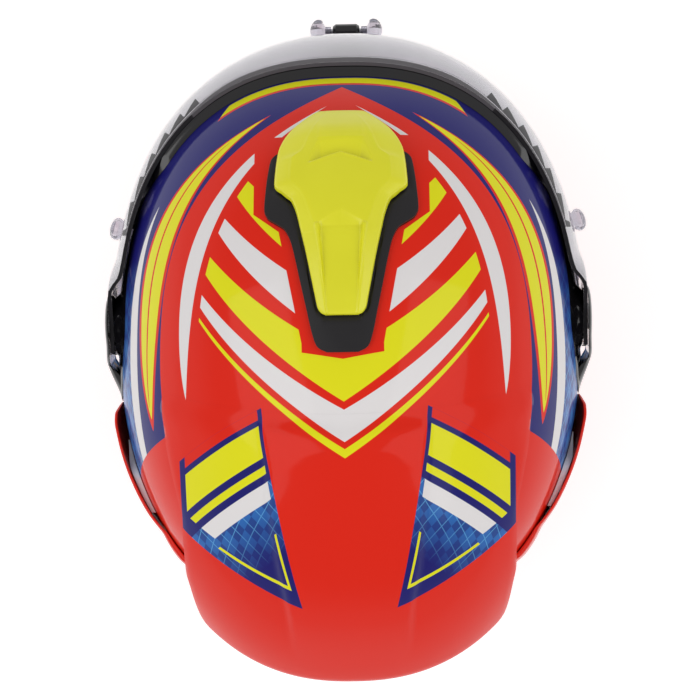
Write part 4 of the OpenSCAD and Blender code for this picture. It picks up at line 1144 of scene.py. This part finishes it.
def make_fins():
    y = np.concatenate([np.arange(31, 42, 0.75), np.arange(42, 98, 1.5), np.arange(98, 124.1, 1.0)])
    wall = FIN_WALL * np.maximum(fin_column(4, y), 0.35)
    outside, inside = [], []
    # Place between the edges, and how much of the wall the rounding takes away there
    for t, cut in ((0.0, 0.55), (0.01, 0.25), (0.03, 0.06), (0.1, 0), (0.3, 0), (0.5, 0), (0.7, 0), (0.85, 0),
                   (0.95, 0), (0.975, 0.03), (0.99, 0.16), (1.0, 0.42)):
        z = mix(*fin_edges(y), t)
        x = fin_inner(y, z)
        outside.append(points(x + wall * (1 - cut), y, z))
        if t in (0.0, 0.3, 0.5, 0.7, 0.95, 1.0):
            inside.append(points(x + wall * (0.25 if t == 1.0 else 0), y, z))
    fin = swept("side_fin_left_scoop", np.stack(outside + inside[::-1], 1), sharp=50)
    place_pair(fin, "shell_paint", [FIN_PAINT], "side_fin_left")


def make_ducts():
    """Pale clear louvre between the shell and the fin. It rises towards the rim at the rear."""
    y = np.linspace(52, 92, 32)
    low = WIDEST_Z + 16 + (y - 52) * 0.12
    corners = []
    for z in (low, low + 2.4 + 6.8 * ease((y - 60) / 12)):
        near = side_x(y, z, 0) + SEAT
        far = mix(near + 0.5, fin_inner(y, z) - 0.4, ease((y - 50) / 18))
        corners += [points(near, y, z), points(far, y, z)]
    duct = swept("exhaust_duct_left_louvre", np.stack([corners[k] for k in (0, 1, 3, 2)], 1))
    place_pair(rounded(duct, 0.5, 3), "clear_plastic", [DUCT_CLEAR], "exhaust_duct_left")


def make_pivot_bases():
    """Black plate on the shell: a raised ring under the visor's ear, and a thin strip that runs on from
    the eyeport's gasket to the pod."""
    h, y = column(0, 1, 25), row(30, -62, 93)
    top = mix(163.5, 147.0, ease((y + 8) / 38)) - 9 * ease((y - 22) / 8)
    foot = mix(150.0, 118.0, ease((y + 52) / 24)) + 16 * ease((y - 2) / 26)
    z = mix(foot, top, h)
    x = side_x(y, z, 0)
    near = np.hypot(y - PIVOT_Y, z - PIVOT_Z)
    strip = 0.85 * np.minimum(1, np.minimum(ease((1 - h) / 0.1), ease(h / 0.1)) * 0.9 + 0.1)
    height = mix(strip, np.maximum(EAR_INNER - SEAT - x, strip), ease((17.5 - near) / 3))
    plate = between("pivot_base_left_plate", points(x + height, y, z), points(x + 0.06, y, z), sharp=50)
    place_pair(plate, "black_gloss", [GLOSS_BLACK], "pivot_base_left")


def make_pods():
    """Cap over the visor's pivot: a drop with a rounded rim and a shallow grip groove."""
    pod_inner = HUB_TOP + SEAT
    turns = np.arange(0, 360, 3.0)
    s = np.array([1, 0.985, 0.96, 0.93, 0.9, 0.85, 0.8, 0.76, 0.7, 0.64, 0.6, 0.56, 0.45, 0.34, 0.22, 0.1])[:, None]
    full = 17 + (42 - 17) * np.maximum(0, cos(turns + 16)) ** 7
    ring = EAR_RADIUS + 3
    far = np.where(s > 0.8, s * full, np.minimum(s * full, ring + (s - 0.76) * 10))
    y, z = PIVOT_Y + far * cos(turns), PIVOT_Z + far * sin(turns)
    groove = 0.7 * ease((s - 0.54) / 0.04) * ease((0.68 - s) / 0.04)
    face = (mix(pod_inner + 2, side_x(y, z, 2), ease((far - 19) / 20)) - 1.2 * s**4 * ease((s - 0.7) / 0.3)
            - groove - 0.7 * ease((s - 0.93) / 0.07) ** 2)
    rear = mix(pod_inner, side_x(y, z, SEAT), ease((far - ring - 1.5) / 6))
    pod = between("side_pod_left_cap", points(rear, y, z), points(np.maximum(face, rear + 0.4), y, z),
                  closed=True, poles=[(pod_inner, PIVOT_Y, PIVOT_Z), (pod_inner + 2, PIVOT_Y, PIVOT_Z)], sharp=50)
    place_pair(pod, "black_gloss", [GLOSS_BLACK], "side_pod_left")


def turned(name, profile, centre, axis, sides=20):
    """Cut glass shape round a level axis. profile has rows of distance along it, radius and depth of the facets."""
    axis, up = np.array(axis, float), np.array((0.0, 0.0, 1.0))
    aside = np.cross(up, axis)
    turn = np.arange(sides) * (360.0 / sides)
    around = cos(turn)[:, None] * up + sin(turn)[:, None] * aside
    odd = np.arange(sides)[:, None] % 2
    rings = [np.array(centre) + axis * far + (radius - cut * odd) * around for far, radius, cut in profile]
    return swept(name, np.array(rings), sharp=12)


def make_knobs():
    """Clear faceted knobs beside the roller, each with a neck that the pin runs into."""
    profile = [
        (4.05, 0.3, 0), (4.05, 1.25, 0), (0, 1.25, 0), (0, 2.4, 0), (3.2, 2.4, 0), (4, 4.2, 0.1), (5, 5.9, 0.3),
        (6.3, 6.5, 0.5), (7.8, 6.5, 0.5), (9.2, 5.8, 0.4), (10.4, 4.6, 0.3), (11.3, 3.1, 0.1), (11.9, 1.4, 0),
        (12, 0.3, 0)]
    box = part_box("lift_knobs")
    middle_y, middle_z = ((box[0][k] + box[1][k]) / 2 / MM for k in (1, 2))
    knob = turned("lift_knob_left", profile, (8.5, middle_y - SHIFT, middle_z), (1, 0, 0))
    place_pair(knob, "clear_plastic", [KNOB_CLEAR], "lift_knobs", body="visor")


def make_posts():
    """Clear faceted posts on the visor that hold tear-off films."""
    profile = [(0, 4.4, 0), (0.9, 5.3, 0.2), (2.2, 6.2, 0.4), (3.6, 6.3, 0.5), (4.9, 5.7, 0.4), (5.9, 4.6, 0.3),
               (6.6, 3.1, 0.1), (7, 1.2, 0)]
    angle, height = 19.5, WIDEST_Z + 12
    spot, ahead = visor_skin(angle, height, 0), visor_skin(angle + 4, height, 0)
    turn = math.atan2(ahead[0] - spot[0], spot[1] - ahead[1])
    out = np.array([math.cos(turn), math.sin(turn), 0])
    post = turned("tear_off_post_left", profile, spot + out * SEAT, out)
    place_pair(post, "clear_plastic", [KNOB_CLEAR], "tear_off_posts", body="visor")


# Chin strap
def curve_through(route, per=6):
    """Catmull-Rom curve through points in one plane."""
    p = np.asarray(route, float)
    p = np.concatenate([[2 * p[0] - p[1]], p, [2 * p[-1] - p[-2]]])
    t = np.linspace(0, 1, per, endpoint=False)[:, None]
    parts = [
        0.5 * (2 * p[i] + (p[i + 1] - p[i - 1]) * t + (2 * p[i - 1] - 5 * p[i] + 4 * p[i + 1] - p[i + 2]) * t**2
               + (3 * p[i] - p[i - 1] - 3 * p[i + 1] + p[i + 2]) * t**3)
        for i in range(1, len(p) - 2)]
    return np.concatenate(parts + [p[-2:-1]])


def strap(name, route):
    """Flat webbing along a path in one plane, with rounded selvedges."""
    path = curve_through(route)
    ahead = np.gradient(path, axis=0)
    ahead /= np.linalg.norm(ahead, axis=1)[:, None]
    normal = points(ahead[:, 1], -ahead[:, 0])
    corner = [(1, 0.3), (0.985, 0.48), (0.94, 0.5), (0.9, 0.44)]
    face = corner + [(-v, h) for v, h in corner[::-1]]
    rings = []
    for v, h in face + [(-v, -h) for v, h in face]:
        x, z = (path + normal * h * STRAP_WALL).T
        rings.append(points(x, STRAP_Y + v * STRAP_WIDTH / 2, z))
    return swept(name, np.stack(rings, 1), sharp=60)


def strap_drop():
    """The way down from the anchor, past the cheek pad."""
    depth = -(SHELL_WALL + STRAP_GAP + STRAP_WALL / 2)
    turn = float(side_x(STRAP_Y, CHEEK_LOW, depth))
    return [(float(side_x(STRAP_Y, z, depth)), z) for z in (66, 56, 46, 36, 26)] + [
        (turn, CHEEK_LOW + 1), (turn - 3.5, CHEEK_LOW - 3.8), (turn - 9.5, CHEEK_LOW - 6.4), (turn - 19, STRAP_LOW)]


def bow(x, z, radius, *degrees):
    return [(x + radius * math.cos(b), z + radius * math.sin(b)) for b in np.radians(range(*degrees))]


def make_straps():
    """The left half holds the D rings in a loop, and the right half ends in a fold."""
    x, z = RING_HINGE_X, RING_HINGE_Z
    loop = bow(x, z, LOOP_RADIUS + STRAP_WALL / 2, 60, 301, 24)
    route = strap_drop() + [(x + 9.5, z + 1.9)] + loop + [(x + 7, z - 3.4), (x + 14, z - 2.9)]
    place(strap("strap_left_webbing", route), "webbing", [STRAP_WEB], "strap_left")
    fold, bend = STRAP_WALL / 2 + 0.2, x - 8
    low = STRAP_LOW - 2 * fold
    turn = bow(bend, STRAP_LOW - fold, fold, 90, 271, 36)
    route = strap_drop() + [(x + 2, STRAP_LOW)] + turn + [(bend + 17, low), (bend + 34, low)]
    right = strap("strap_right_source", route)
    place(mirrored("strap_right_webbing", right), "webbing", [STRAP_WEB], "strap_right")
    bpy.data.objects.remove(right)


def make_pull_tabs():
    half, wall, lean = 6, 1, 0.178
    y = np.linspace(-24, -50, 27)
    x = np.interp(-y, (24, 30, 38, 50), (84, 84, 84.5, 85))
    top = CHEEK_LOW - smooth([(24, -3), (30, -3.3), (38, -1.5), (50, 1)], -y)
    rings = []
    for v, h in ((-1, -0.15), (-0.9, 0), (0.9, 0), (1, -0.15), (1, -0.85), (0.9, -1), (-0.9, -1), (-1, -0.85)):
        rings.append(points(x + v * half, y, top - lean * v * half + h * wall))
    tab = swept("pull_tab_left_tape", np.stack(rings, 1), sharp=60)
    place_pair(tab, "pull_red", [PULL_WEB], "pull_tab_left")


for make in (
        make_shell, make_trim, make_gasket, make_visor, make_visor_print, make_liner, make_crown_pad,
        make_chin_liner, make_cheek_pads, make_neck_roll, make_breath_guard, make_chin_curtain, make_vent_frame,
        make_vent_cover, make_spoiler, make_fins, make_ducts, make_pivot_bases, make_pods, make_knobs, make_posts,
        make_straps, make_pull_tabs):
    make()

# Parts that keep their CAD shape, with the materials they take
for material, nodes in (
        (SATIN_BLACK, "rear_grille chin_vent_frame chin_vent_shutter latch_catch"), (SCREEN, "chin_vent_mesh"),
        (STEEL, "pivot_hub_left pivot_hub_right pivot_screws latch_pin strap_anchors d_rings"),
        (GLOSS_BLACK, "latch_roller")):
    for node in nodes.split():
        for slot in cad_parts[node].material_slots:
            slot.material = material


# Floor, backdrop, light and camera
def make_stage():
    mesh = bpy.data.meshes.new("floor")
    half, low, dim = 6.0, -0.0005, 0.56
    corners = [(p * half, q * half, low) for p, q in ((-1, -1), (1, -1), (1, 1), (-1, 1))]
    mesh.from_pydata(corners, [], [(0, 1, 2, 3)])
    floor = added("floor", mesh)
    look = Look("floor_card", (0.8, 0.8, 0.8), 0.9, Specular_IOR_Level=0.0)
    rays = look.node("ShaderNodeLightPath").outputs
    seen, glossy, through = (Signal(look.tree, rays[kind]) for kind in (
        "Is Camera Ray", "Is Glossy Ray", "Is Transmission Ray"))
    glow = seen.higher(glossy).higher(through) * dim
    look.fill(look.shader, Emission_Strength=glow, Emission_Color=(1, 1, 1, 1))
    mesh.materials.append(look.material)

    world = bpy.data.worlds.new("studio")
    world.use_nodes = True
    tree = world.node_tree
    back = tree.nodes["Background"]
    back.inputs["Color"].default_value = (1, 1, 1, 1)
    split = tree.nodes.new("ShaderNodeSeparateXYZ")
    tree.links.new(tree.nodes.new("ShaderNodeTexCoord").outputs["Generated"], split.inputs[0])
    rise = Signal(tree, split.outputs[2]).ramp(0.06, 0.3)
    feed(tree, back.inputs["Strength"], 1.0 - rise * rise * (3.0 - rise * 2.0) * dim)
    bpy.context.scene.world = world


def make_lamp(name, spot, power, aim=(0, 0, 0.15), size=(2.4, 1.3)):
    lamp = bpy.data.lights.new(name, "AREA")
    lamp.shape, lamp.energy = "RECTANGLE", power
    lamp.size, lamp.size_y = size
    obj = added(name, lamp)
    obj.location = spot
    obj.rotation_euler = (Vector(aim) - Vector(spot)).to_track_quat("-Z", "Y").to_euler()


def make_camera():
    """The photograph looks down on the crown, with the front at the top of the picture."""
    lean, side, roll = math.radians(5.0), math.radians(-1.5124), math.radians(0.9524)
    target, distance = Vector((0, SHIFT * MM, 0.12)), 1.4
    back = Vector((math.sin(side), math.sin(lean) * math.cos(side), math.cos(lean) * math.cos(side)))
    up = Vector((0, -1, 0))
    up = (up - back * up.dot(back)).normalized()
    right = up.cross(back)
    up, right = up * math.cos(roll) + right * math.sin(roll), right * math.cos(roll) - up * math.sin(roll)
    camera = bpy.data.cameras.new("camera")
    camera.lens, camera.sensor_width = 131.5, 36
    camera.shift_x, camera.shift_y = 0.0002, -0.01103
    camera.clip_start = 0.05
    obj = added("camera", camera)
    turn = Matrix((right, up, back)).transposed().to_4x4()
    obj.matrix_world = Matrix.Translation(target + back * distance) @ turn
    bpy.context.scene.camera = obj


make_stage()
make_lamp("left_window", (1.35, 0.45, 1.75), 15)
make_lamp("right_window", (-1.45, 0.45, 1.65), 13)
make_camera()
bpy.context.scene.view_settings.view_transform = "Standard"
